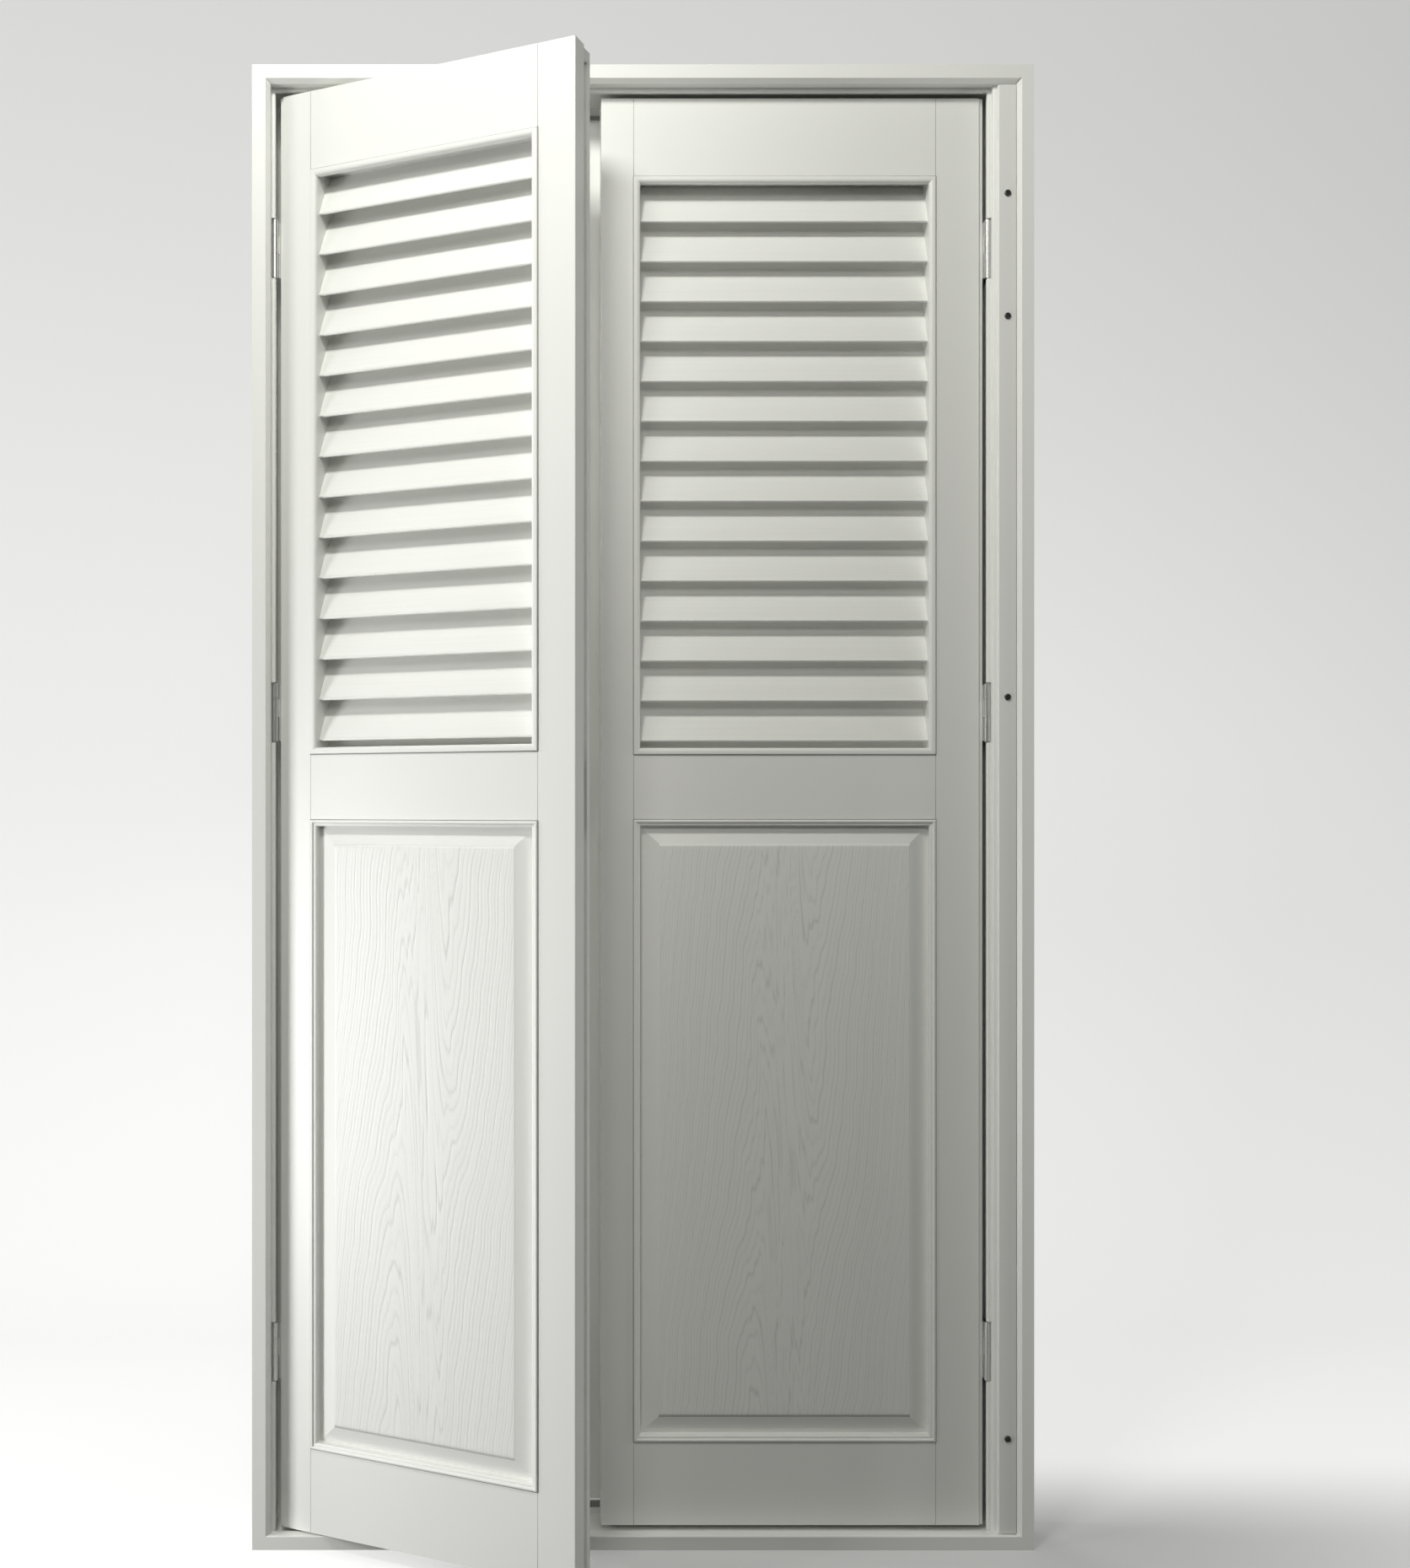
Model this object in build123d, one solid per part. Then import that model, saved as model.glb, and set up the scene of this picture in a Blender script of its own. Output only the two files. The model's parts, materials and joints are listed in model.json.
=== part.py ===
from build123d import *
import math
import os

# Double-leaf louvred aluminium door shutter in its own frame, millimetres.
# X runs to the right, Y away from the viewer, Z up.
# The origin is on the underside of the sill, at the middle of the frame's width and depth.

# Outer frame
FRAME_WIDTH = 1106.0
FRAME_HEIGHT = 2100.0
FRAME_WALL = 1.8
FLANGE_WIDTH = 19.0
BEVEL_DEPTH = 6.0
JAMB_BOX_WIDTH = 25.0
NIB_WIDTH = 5.5
NIB_FRONT = 19.5
NIB_BACK = 29.0
NIB_RADIUS = 2.4
STOP_REACH = 18.0
STOP_THICKNESS = 7.5
MITRE_OVERREACH = 5.0
SILL_NOSE_HEIGHT = 19.5
SILL_NOSE_DEPTH = 18.0
SILL_FLOOR_HEIGHT = 14.0
SILL_STOP_HEIGHT = 33.0
SILL_EDGE_RADIUS = 2.0

# Right jamb, widened to carry the fixing strip
STRIP_WIDTH = 25.0
STRIP_THICKNESS = 3.0
STRIP_SIDE_GAP = 0.6
STRIP_END_GAP = 1.5
STRIP_SEAT_STEP = 2.0
STRIP_SIDE_STEP = 2.0
STRIP_EDGE_CHAMFER = 0.6
SHOULDER_WIDTH = 3.9
SHOULDER_STEP = 4.0
SHOULDER_RADIUS = 3.0
SHOULDER_LAND = 2.0
STRIP_SCREWS_FROM_BOTTOM = (155.0, 1206.0)
STRIP_SCREWS_FROM_TOP = (354.0, 180.0)
STRIP_SCREW_HEAD_RADIUS = 4.6
STRIP_SCREW_HEAD_HEIGHT = 2.4
STRIP_SCREW_SLOT = 1.1

# Leaves, measured in the closed position
LEAF_RECESS = 30.0
LEAF_THICKNESS = 58.0
LEAF_WALL = 1.8
LEAF_BOTTOM_GAP = 2.5
LEAF_TOP_GAP = 5.0
LEFT_LEAF_WIDTH = 458.0
MEETING_GAP = 4.0
LEFT_STILE_WIDTHS = (52.0, 54.0)
RIGHT_STILE_WIDTHS = (68.0, 46.6)
TOP_RAIL_HEIGHT = 111.6
LOUVER_HEIGHT = 827.7
MIDDLE_RAIL_HEIGHT = 93.2
BOTTOM_RAIL_HEIGHT = 119.2
EDGE_STEP_WIDTH = 5.4
EDGE_STEP_DEPTH = 3.0
EDGE_RADIUS = 1.2
GROOVE_FRONT = 30.0
GROOVE_WIDTH = 18.0
GROOVE_DEPTH = 9.0
FIN_SETBACK = 3.0
END_CAP_THICKNESS = 2.0
LEFT_LEAF_OPEN = 25.0

# Shear blocks in the rail ends
BLOCK_LENGTH = 45.0
BLOCK_WALL = 4.0
BLOCK_CLEARANCE = 0.2

# Louvre bank
LOUVER_BEAD_WIDTH = 9.5
LOUVER_BEAD_PROUD = 2.5
LOUVER_BEAD_DEPTH = 7.0
SLAT_CHANNEL_WALL = 1.5
SLAT_COUNT = 14
SLAT_PITCH = 57.4
FIRST_LIP_HEIGHT = 20.8
SLAT_FRONT = 9.6
SLAT_RUN = 39.5
SLAT_RISE = 72.0
SLAT_BULGE = 3.0
SLAT_THICKNESS = 1.6
SLAT_LIP_RADIUS = 2.0

# Raised panel, pressed in two trays
PANEL_BEAD_WIDTH = 9.0
PANEL_BEAD_PROUD = 2.5
PANEL_EDGE_DEPTH = 12.0
PANEL_FIELD_DEPTH = 5.0
FIELD_SIDE_MARGIN = 36.0
FIELD_END_MARGIN = 34.0
TRAY_THICKNESS = 1.5

# Hinges
LOWER_HINGE_RISE = 251.0
MIDDLE_HINGE_RISE = 59.8
UPPER_HINGE_DROP = 217.5
HINGE_HEIGHT = 80.0
KNUCKLE_RADIUS = 4.2
KNUCKLE_SPLITS = (0.42, 0.74)
KNUCKLE_GAP = 0.4
HINGE_PLATE_THICKNESS = 1.3
HINGE_PLATE_DEPTH = 30.0
HINGE_AXIS_FORWARD = 5.0
PIN_RADIUS = 2.5
PIN_CLEARANCE = 0.05
PIN_HEAD_RADIUS = 3.7
PIN_HEAD_HEIGHT = 1.6
HINGE_NOTCH_MARGIN = 3.0
HINGE_SCREW_OFFSET = 24.0
HINGE_SCREW_RADIUS = 1.6
HINGE_SCREW_HEAD_RADIUS = 3.0
HINGE_SCREW_LENGTH = 9.0
HINGE_SCREW_CLEARANCE = 0.05

# Seals
GASKET_CLEARANCE = 0.3
GASKET_THICKNESS = 2.2
GASKET_EDGE_MARGIN = 1.0

# Cleats in the frame's corners
CLEAT_FRONT = 36.0
CLEAT_DEPTH = 44.0
CLEAT_LEG = 70.0
CLEAT_CLEARANCE = 0.2

# Lock in the left leaf
LOCK_RISE = 33.0
FACEPLATE_HEIGHT = 104.0
FACEPLATE_THICKNESS = 2.0
FACEPLATE_SIDE_GAP = 0.8
LOCK_CASE_HEIGHT = 86.0
LOCK_CASE_THICKNESS = 13.0
LOCK_CASE_DEPTH = 30.0
LOCK_CASE_WALL = 1.2
BOLT_HEIGHT = 20.0
BOLT_THICKNESS = 8.0
BOLT_LENGTH = 26.0
BOLT_NOSE_CHAMFER = 0.8
BOLT_CLEARANCE = 0.3
SPINDLE_RADIUS = 3.0
SPINDLE_CLEARANCE = 0.06
SPINDLE_DROP = 26.0
SPINDLE_INSET = 31.0
ROSE_RADIUS = 11.0
ROSE_THICKNESS = 2.5
ROSE_CHAMFER = 0.8
TURN_LENGTH = 26.0
TURN_WIDTH = 8.0
TURN_HEIGHT = 15.0
TURN_EDGE_RADIUS = 1.5
FACEPLATE_SCREW_OFFSET = 46.0
FACEPLATE_SCREW_RADIUS = 1.8
FACEPLATE_SCREW_HEAD_RADIUS = 3.2
FACEPLATE_SCREW_LENGTH = 12.0
FACEPLATE_SCREW_CLEARANCE = 0.1

# Flush bolts and astragal on the right leaf
FLUSH_BAR_WIDTH = 10.0
FLUSH_BAR_THICKNESS = 5.0
FLUSH_BAR_LENGTH = 260.0
FLUSH_BAR_RETRACT = 2.0
FLUSH_BAR_CHAMFER = 1.0
FLUSH_CLEARANCE = 0.3
FLUSH_GUIDE_LENGTH = 34.0
FLUSH_GUIDE_THICKNESS = 2.0
FLUSH_LEVER_HEIGHT = 12.0
FLUSH_LEVER_INSET = 12.0
FLUSH_LEVER_PROUD = 2.0
FLUSH_TRAVEL = 20.0
FLUSH_GUIDE_END_INSET = 25.0
FLUSH_PULL_ROOM = 3.0
KEEP_CLEARANCE = 1.0
ASTRAGAL_SEAT = 20.0
ASTRAGAL_LAP = 18.0
ASTRAGAL_THICKNESS = 3.0
ASTRAGAL_RELIEF = 0.6
ASTRAGAL_END_GAP = 3.0

# Derived places
HALF_WIDTH = FRAME_WIDTH / 2
FRAME_DEPTH = LEAF_RECESS + LEAF_THICKNESS + GASKET_CLEARANCE + GASKET_THICKNESS + STOP_THICKNESS
FACE_Y = -FRAME_DEPTH / 2
LEAF_Y = FACE_Y + LEAF_RECESS
LEAF_BACK_Y = LEAF_Y + LEAF_THICKNESS
STOP_FRONT = FRAME_DEPTH - STOP_THICKNESS
LEAF_EDGE = JAMB_BOX_WIDTH + 2 * KNUCKLE_RADIUS
STRIP_SEAT = BEVEL_DEPTH + STRIP_SEAT_STEP
STRIP_START = JAMB_BOX_WIDTH - STRIP_SIDE_STEP
STRIP_END = STRIP_START + STRIP_WIDTH + 2 * STRIP_SIDE_GAP
RIGHT_BOX_WIDTH = STRIP_END + SHOULDER_WIDTH + SHOULDER_LAND
RIGHT_LEAF_EDGE = RIGHT_BOX_WIDTH + 2 * KNUCKLE_RADIUS
LEFT_HINGE_X = -HALF_WIDTH + LEAF_EDGE
RIGHT_HINGE_X = HALF_WIDTH - RIGHT_LEAF_EDGE
MEETING_X = LEFT_HINGE_X + LEFT_LEAF_WIDTH
RIGHT_LEAF_WIDTH = RIGHT_HINGE_X - MEETING_X - MEETING_GAP
LEAF_BOTTOM = SILL_NOSE_HEIGHT + LEAF_BOTTOM_GAP
LEAF_TOP = FRAME_HEIGHT - JAMB_BOX_WIDTH - NIB_WIDTH - LEAF_TOP_GAP
PANEL_BOTTOM = LEAF_BOTTOM + BOTTOM_RAIL_HEIGHT
LOUVER_TOP = LEAF_TOP - TOP_RAIL_HEIGHT
LOUVER_BOTTOM = LOUVER_TOP - LOUVER_HEIGHT
PANEL_TOP = LOUVER_BOTTOM - MIDDLE_RAIL_HEIGHT
LOCK_HEIGHT = PANEL_TOP + LOCK_RISE
HINGE_CENTRES = (
    LEAF_BOTTOM + LOWER_HINGE_RISE, LOUVER_BOTTOM + MIDDLE_HINGE_RISE, LEAF_TOP - UPPER_HINGE_DROP,
)
GROOVE_MIDDLE = GROOVE_FRONT + GROOVE_WIDTH / 2
AXIS_INSET = KNUCKLE_RADIUS
AXIS_Y = LEAF_Y - HINGE_AXIS_FORWARD
FLUSH_BAR_INSET = GROOVE_DEPTH - FLUSH_CLEARANCE - FLUSH_BAR_THICKNESS / 2


def block(x0, x1, y0, y1, z0, z1):
    """Box between two corners."""
    size = (x1 - x0, y1 - y0, z1 - z0)
    return Pos((x0 + x1) / 2, (y0 + y1) / 2, (z0 + z1) / 2) * Box(*size)


def rod(radius, start, direction, length):
    """Cylinder from a start point along a direction."""
    plane = Plane(origin=start, z_dir=direction)
    return extrude(plane * Circle(radius), amount=length)


def outline(points):
    """Closed flat face through the points."""
    return make_face(Polyline(*points, close=True))


def rounded(face, corners, radius):
    """Round the face's corners that lie at the given points."""
    chosen = [v for v in face.vertices() for c in corners if math.dist((v.X, v.Y), c) < 0.01]
    return fillet(chosen, radius)


def hollow(face, wall):
    """Thin-walled section with the face's outline."""
    return face - offset(face, amount=-wall, kind=Kind.INTERSECTION)


def merged(parts):
    """Several separate solids as one node."""
    return Compound(children=[solid for part in parts for solid in part.solids()])


# Section planes of the four frame sides: the section's first axis points into the opening,
# its second away from the viewer, and the bar runs along the plane's normal.
def side_plane(side, x0, x1, z0, z1, y):
    """Plane on which the section of one side of a rectangle is drawn."""
    planes = {
        "left": Plane(origin=(x0, y, z0), x_dir=(1, 0, 0), z_dir=(0, 0, 1)),
        "right": Plane(origin=(x1, y, z1), x_dir=(-1, 0, 0), z_dir=(0, 0, -1)),
        "bottom": Plane(origin=(x1, y, z0), x_dir=(0, 0, 1), z_dir=(-1, 0, 0)),
        "top": Plane(origin=(x0, y, z1), x_dir=(0, 0, -1), z_dir=(1, 0, 0)),
    }
    return planes[side]


def side_bar(section, side, x0, x1, z0, z1, y):
    """Bar along one side of a rectangle, with square ends."""
    length = (z1 - z0) if side in ("left", "right") else (x1 - x0)
    return extrude(side_plane(side, x0, x1, z0, z1, y) * section, amount=length)


def mitre_prism(side, x0, x1, z0, z1, reach, y0, y1):
    """Trapezoid prism that keeps one side's share of a mitred rectangle."""
    corners = {
        "bottom": [(x0, z0), (x1, z0), (x1 - reach, z0 + reach), (x0 + reach, z0 + reach)],
        "top": [(x0, z1), (x1, z1), (x1 - reach, z1 - reach), (x0 + reach, z1 - reach)],
        "left": [(x0, z0), (x0, z1), (x0 + reach, z1 - reach), (x0 + reach, z0 + reach)],
        "right": [(x1, z0), (x1, z1), (x1 - reach, z1 - reach), (x1 - reach, z0 + reach)],
    }
    plane = Plane(origin=(0, y1, 0), x_dir=(1, 0, 0), z_dir=(0, -1, 0))
    return extrude(plane * outline(corners[side]), amount=y1 - y0)


def mitred_bar(section, side, x0, x1, z0, z1, y, reach, y0, y1):
    """Bar along one side of a rectangle, mitred at both ends."""
    bar = side_bar(section, side, x0, x1, z0, z1, y)
    return bar & mitre_prism(side, x0, x1, z0, z1, reach, y0, y1)


def nib_section(start):
    """Rounded bead in front of the leaf edge."""
    tip = start + NIB_WIDTH
    face = outline([(start, NIB_FRONT), (tip, NIB_FRONT), (tip, NIB_BACK), (start, NIB_BACK)])
    return rounded(face, [(tip, NIB_FRONT), (tip, NIB_BACK)], NIB_RADIUS)


def jamb_core():
    """Filled section of the head and left jamb: flange, bevel, box and rebate stop."""
    reach = JAMB_BOX_WIDTH + STOP_REACH
    return outline([
        (0, 0), (FLANGE_WIDTH, 0), (JAMB_BOX_WIDTH, BEVEL_DEPTH), (JAMB_BOX_WIDTH, STOP_FRONT),
        (reach, STOP_FRONT), (reach, FRAME_DEPTH), (0, FRAME_DEPTH),
    ])


def right_jamb_core():
    """Filled section of the right jamb, with the fixing strip's seat and a rounded shoulder."""
    shoulder_y = STRIP_SEAT + SHOULDER_STEP
    reach = RIGHT_BOX_WIDTH + STOP_REACH
    face = outline([
        (0, 0), (STRIP_START - BEVEL_DEPTH, 0), (STRIP_START, BEVEL_DEPTH),
        (STRIP_START, STRIP_SEAT), (STRIP_END, STRIP_SEAT), (STRIP_END, shoulder_y),
        (RIGHT_BOX_WIDTH, shoulder_y), (RIGHT_BOX_WIDTH, STOP_FRONT), (reach, STOP_FRONT),
        (reach, FRAME_DEPTH), (0, FRAME_DEPTH),
    ])
    return rounded(face, [(RIGHT_BOX_WIDTH, shoulder_y)], SHOULDER_RADIUS)


def sill_core():
    """Filled section of the sill: nose, floor under the leaves and rear stop."""
    nose_end = SILL_NOSE_DEPTH + SILL_EDGE_RADIUS
    face = outline([
        (0, 0), (SILL_NOSE_HEIGHT, 0), (SILL_NOSE_HEIGHT, SILL_NOSE_DEPTH),
        (SILL_FLOOR_HEIGHT, nose_end), (SILL_FLOOR_HEIGHT, STOP_FRONT),
        (SILL_STOP_HEIGHT, STOP_FRONT), (SILL_STOP_HEIGHT, FRAME_DEPTH), (0, FRAME_DEPTH),
    ])
    corners = [(SILL_NOSE_HEIGHT, 0), (SILL_NOSE_HEIGHT, SILL_NOSE_DEPTH)]
    return rounded(face, corners, SILL_EDGE_RADIUS)


def frame_bar(section, side, mitred):
    """Bar along one side of the outer frame."""
    box = (-HALF_WIDTH, HALF_WIDTH, 0, FRAME_HEIGHT, FACE_Y)
    if not mitred:
        return side_bar(section, side, *box)
    reach = RIGHT_BOX_WIDTH + STOP_REACH + MITRE_OVERREACH
    return mitred_bar(section, side, *box, reach, FACE_Y, FACE_Y + FRAME_DEPTH)


def keep_slot(z0, z1):
    """Slot in the head or sill that takes a flush bolt."""
    x, y = flush_bar_place()
    half_x = FLUSH_BAR_THICKNESS / 2 + KEEP_CLEARANCE
    half_y = FLUSH_BAR_WIDTH / 2 + KEEP_CLEARANCE
    return block(x - half_x, x + half_x, y - half_y, y + half_y, z0, z1)


def flush_bar_place():
    """Middle of the flush bolts, in the right leaf's edge groove."""
    return MEETING_X + MEETING_GAP + FLUSH_BAR_INSET, LEAF_Y + GROOVE_MIDDLE


def make_head():
    head = frame_bar(hollow(jamb_core(), FRAME_WALL) + nib_section(JAMB_BOX_WIDTH), "top", True)
    wall_z = FRAME_HEIGHT - JAMB_BOX_WIDTH
    return head - keep_slot(wall_z - 1, wall_z + FRAME_WALL + 1)


def make_sill():
    sill = frame_bar(hollow(sill_core(), FRAME_WALL), "bottom", True)
    return sill - keep_slot(SILL_FLOOR_HEIGHT - FRAME_WALL - 1, SILL_FLOOR_HEIGHT + 1)


def hinge_notches(hinge_x, side):
    """Room in the jamb's bead for the knuckles; side is +1 where the leaf lies to the right."""
    half = HINGE_HEIGHT / 2 + HINGE_NOTCH_MARGIN
    x0, x1 = sorted((hinge_x - side * 2 * KNUCKLE_RADIUS, hinge_x))
    y0, y1 = FACE_Y + NIB_FRONT - 1, FACE_Y + NIB_BACK + 1
    return [block(x0, x1, y0, y1, z - half, z + half) for z in HINGE_CENTRES]


def make_jamb(core, nib_start, side):
    """Jamb coped onto the head and sill, notched for its hinges."""
    jamb = frame_bar(hollow(core, FRAME_WALL) + nib_section(nib_start), side, False)
    jamb -= frame_bar(jamb_core() + nib_section(JAMB_BOX_WIDTH), "top", True)
    jamb -= frame_bar(sill_core(), "bottom", True)
    hinge_x, way = (LEFT_HINGE_X, 1) if side == "left" else (RIGHT_HINGE_X, -1)
    for notch in hinge_notches(hinge_x, way):
        jamb -= notch
    for place in hinge_screw_places():
        jamb -= hinge_screw_hole(hinge_x - way * 2 * KNUCKLE_RADIUS, place, -way)
    return jamb


def make_fixing_strip():
    """Flat bar screwed to its seat on the right jamb."""
    x1 = HALF_WIDTH - STRIP_START - STRIP_SIDE_GAP
    y1 = FACE_Y + STRIP_SEAT
    z0 = SILL_NOSE_HEIGHT + STRIP_END_GAP
    z1 = FRAME_HEIGHT - JAMB_BOX_WIDTH - STRIP_END_GAP
    bar = block(x1 - STRIP_WIDTH, x1, y1 - STRIP_THICKNESS, y1, z0, z1)
    front = bar.faces().sort_by(Axis.Y)[0]
    return chamfer(front.edges().filter_by(Axis.Z), STRIP_EDGE_CHAMFER)


def make_strip_screws():
    """Pan-head screws with a cross recess."""
    x = HALF_WIDTH - STRIP_START - STRIP_SIDE_GAP - STRIP_WIDTH / 2
    y = FACE_Y + STRIP_SEAT - STRIP_THICKNESS
    heights = list(STRIP_SCREWS_FROM_BOTTOM) + [FRAME_HEIGHT - d for d in STRIP_SCREWS_FROM_TOP]
    return merged([pan_head((x, y, z)) for z in heights])


def pan_head(place):
    """Pan head that faces the viewer."""
    radius, height, slot = STRIP_SCREW_HEAD_RADIUS, STRIP_SCREW_HEAD_HEIGHT, STRIP_SCREW_SLOT
    x, y, z = place
    head = rod(radius, (x, y, z), (0, -1, 0), height)
    rim = head.faces().sort_by(Axis.Y)[0].edges()
    head = fillet(rim, height * 0.6)
    for length, width in ((radius, slot), (slot, radius)):
        half_x, half_z = length / 2, width / 2
        head -= block(x - half_x, x + half_x, y - height, y - height / 2, z - half_z, z + half_z)
    return head


def corner_cleat(x_side, z_corner, z_side, leg_thickness):
    """Corner key inside the hollow profiles."""
    inner = FRAME_WALL + CLEAT_CLEARANCE
    x = x_side * HALF_WIDTH
    y0 = FACE_Y + CLEAT_FRONT
    far = [(inner, inner), (CLEAT_LEG, inner), (CLEAT_LEG, leg_thickness),
           (leg_thickness, leg_thickness), (leg_thickness, CLEAT_LEG), (inner, CLEAT_LEG)]
    points = [(x - x_side * a, z_corner + z_side * b) for a, b in far]
    plane = Plane(origin=(0, y0 + CLEAT_DEPTH, 0), x_dir=(1, 0, 0), z_dir=(0, -1, 0))
    return extrude(plane * outline(points), amount=CLEAT_DEPTH)


def make_cleats():
    upper = JAMB_BOX_WIDTH - FRAME_WALL - CLEAT_CLEARANCE
    lower = SILL_FLOOR_HEIGHT - FRAME_WALL - CLEAT_CLEARANCE
    cleats = [corner_cleat(s, FRAME_HEIGHT, -1, upper) for s in (-1, 1)]
    cleats += [corner_cleat(s, 0, 1, lower) for s in (-1, 1)]
    return merged(cleats)


def make_gasket():
    """Rubber seal around the rebate, on the stop behind the leaves."""
    y0, y1 = LEAF_BACK_Y + GASKET_CLEARANCE, FACE_Y + STOP_FRONT
    edge = GASKET_EDGE_MARGIN
    outer = block(LEFT_HINGE_X + edge, RIGHT_HINGE_X - edge, y0, y1,
                  LEAF_BOTTOM + edge, LEAF_TOP - edge)
    left = -HALF_WIDTH + JAMB_BOX_WIDTH + STOP_REACH - edge
    right = HALF_WIDTH - RIGHT_BOX_WIDTH - STOP_REACH + edge
    top = FRAME_HEIGHT - JAMB_BOX_WIDTH - STOP_REACH + edge
    inner = block(left, right, y0 - 1, y1 + 1, SILL_STOP_HEIGHT - edge, top)
    return outer - inner


# Leaf parts are drawn closed, in the left leaf's own frame: x from its hinge edge,
# y from its front face, z as in the frame.
def hinge_stile_outline(width):
    """Filled section with the small step at the leaf's outer front edge."""
    face = outline([
        (0, EDGE_STEP_DEPTH), (EDGE_STEP_WIDTH, EDGE_STEP_DEPTH), (EDGE_STEP_WIDTH, 0),
        (width, 0), (width, LEAF_THICKNESS), (0, LEAF_THICKNESS),
    ])
    return face


def meeting_stile_outline(leaf_width, width):
    """Filled section with the hardware groove and the rear fin at the free edge."""
    groove_floor = leaf_width - GROOVE_DEPTH
    fin = leaf_width - FIN_SETBACK
    groove_back = GROOVE_FRONT + GROOVE_WIDTH
    return outline([
        (leaf_width - width, 0), (leaf_width, 0), (leaf_width, GROOVE_FRONT),
        (groove_floor, GROOVE_FRONT), (groove_floor, groove_back), (fin, groove_back),
        (fin, LEAF_THICKNESS), (leaf_width - width, LEAF_THICKNESS),
    ])


def upright(section):
    """Extrusion over the leaf's full height."""
    return extrude(Plane(origin=(0, 0, LEAF_BOTTOM)) * section, amount=LEAF_TOP - LEAF_BOTTOM)


def make_hinge_stile(width):
    face = hinge_stile_outline(width)
    inner = offset(face, amount=-LEAF_WALL, kind=Kind.INTERSECTION)
    corners = [(EDGE_STEP_WIDTH, 0), (0, EDGE_STEP_DEPTH)]
    stile = upright(rounded(face, corners, EDGE_RADIUS) - inner)
    for place in hinge_screw_places():
        stile -= hinge_screw_hole(0, place, 1)
    return stile


def make_meeting_stile(leaf_width, width):
    face = meeting_stile_outline(leaf_width, width)
    inner = offset(face, amount=-LEAF_WALL, kind=Kind.INTERSECTION)
    return upright(rounded(face, [(leaf_width, 0)], EDGE_RADIUS) - inner)


def make_rail(x0, x1, z0, z1):
    """Hollow rail between the stiles."""
    w = LEAF_WALL
    return block(x0, x1, 0, LEAF_THICKNESS, z0, z1) - block(
        x0 - 1, x1 + 1, w, LEAF_THICKNESS - w, z0 + w, z1 - w)


def shear_block(x, way, z0, z1):
    """Channel-shaped block inside a rail end, against the stile."""
    gap = LEAF_WALL + BLOCK_CLEARANCE
    x0, x1 = sorted((x, x + way * BLOCK_LENGTH))
    body = block(x0, x1, gap, LEAF_THICKNESS - gap, z0 + gap, z1 - gap)
    cut0, cut1 = sorted((x + way * BLOCK_WALL, x + way * (BLOCK_LENGTH + 1)))
    inner = gap + BLOCK_WALL
    return body - block(cut0, cut1, inner, LEAF_THICKNESS - inner, z0 + inner, z1 - inner)


def make_shear_blocks(x0, x1):
    rails = ((LEAF_BOTTOM, PANEL_BOTTOM), (PANEL_TOP, LOUVER_BOTTOM), (LOUVER_TOP, LEAF_TOP))
    blocks = []
    for z0, z1 in rails:
        blocks.append(shear_block(x0, 1, z0, z1))
        blocks.append(shear_block(x1, -1, z0, z1))
    return merged(blocks)


def louver_bead_section():
    """Ovolo bead: first axis into the opening, second away from the viewer."""
    face = outline([
        (0, -LOUVER_BEAD_PROUD), (LOUVER_BEAD_WIDTH, -LOUVER_BEAD_PROUD),
        (LOUVER_BEAD_WIDTH, LOUVER_BEAD_DEPTH), (0, LOUVER_BEAD_DEPTH),
    ])
    face = rounded(face, [(LOUVER_BEAD_WIDTH, -LOUVER_BEAD_PROUD)], LOUVER_BEAD_WIDTH * 0.55)
    return rounded(face, [(0, -LOUVER_BEAD_PROUD)], LOUVER_BEAD_PROUD * 0.6)


def panel_bead_section():
    """Bead in two rounded steps around the panel."""
    half = PANEL_BEAD_WIDTH / 2
    face = outline([
        (0, -PANEL_BEAD_PROUD), (half, -PANEL_BEAD_PROUD), (half, 0), (PANEL_BEAD_WIDTH, 0),
        (PANEL_BEAD_WIDTH, PANEL_EDGE_DEPTH), (0, PANEL_EDGE_DEPTH),
    ])
    face = rounded(face, [(0, -PANEL_BEAD_PROUD), (half, -PANEL_BEAD_PROUD)], half * 0.4)
    return rounded(face, [(PANEL_BEAD_WIDTH, 0)], half * 0.5)


def both_faces(part, x0, x1):
    """The part and its copy on the back of the leaf, turned about the opening's middle."""
    axis = Axis(((x0 + x1) / 2, LEAF_THICKNESS / 2, 0), (0, 0, 1))
    return [part, part.rotate(axis, 180)]


def make_beads(section, x0, x1, z0, z1, width, proud):
    """Mitred bead frames on both faces of an opening."""
    bars = []
    for side in ("bottom", "top", "left", "right"):
        bar = mitred_bar(section, side, x0, x1, z0, z1, 0, width + 1, -proud - 1, LEAF_THICKNESS)
        bars += both_faces(bar, x0, x1)
    return merged(bars)


def make_slat_channels(x0, x1):
    """Side channels between the front and back beads, closed towards the slats that end on them."""
    w, depth = SLAT_CHANNEL_WALL, LOUVER_BEAD_DEPTH
    channels = []
    for edge, way in ((x0, 1), (x1, -1)):
        outer0, outer1 = sorted((edge, edge + way * LOUVER_BEAD_WIDTH))
        inner0, inner1 = sorted((edge - way, edge + way * (LOUVER_BEAD_WIDTH - w)))
        channel = block(outer0, outer1, depth, LEAF_THICKNESS - depth, LOUVER_BOTTOM, LOUVER_TOP)
        channel -= block(inner0, inner1, depth + w, LEAF_THICKNESS - depth - w,
                         LOUVER_BOTTOM - 1, LOUVER_TOP + 1)
        channels.append(channel)
    return channels


def make_louver_beads(x0, x1):
    """Beads on both faces of the louvre opening, and the side channels between them."""
    section = louver_bead_section()
    opening = (x0, x1, LOUVER_BOTTOM, LOUVER_TOP)
    beads = make_beads(section, *opening, LOUVER_BEAD_WIDTH, LOUVER_BEAD_PROUD)
    return merged([beads] + make_slat_channels(x0, x1))


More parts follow.
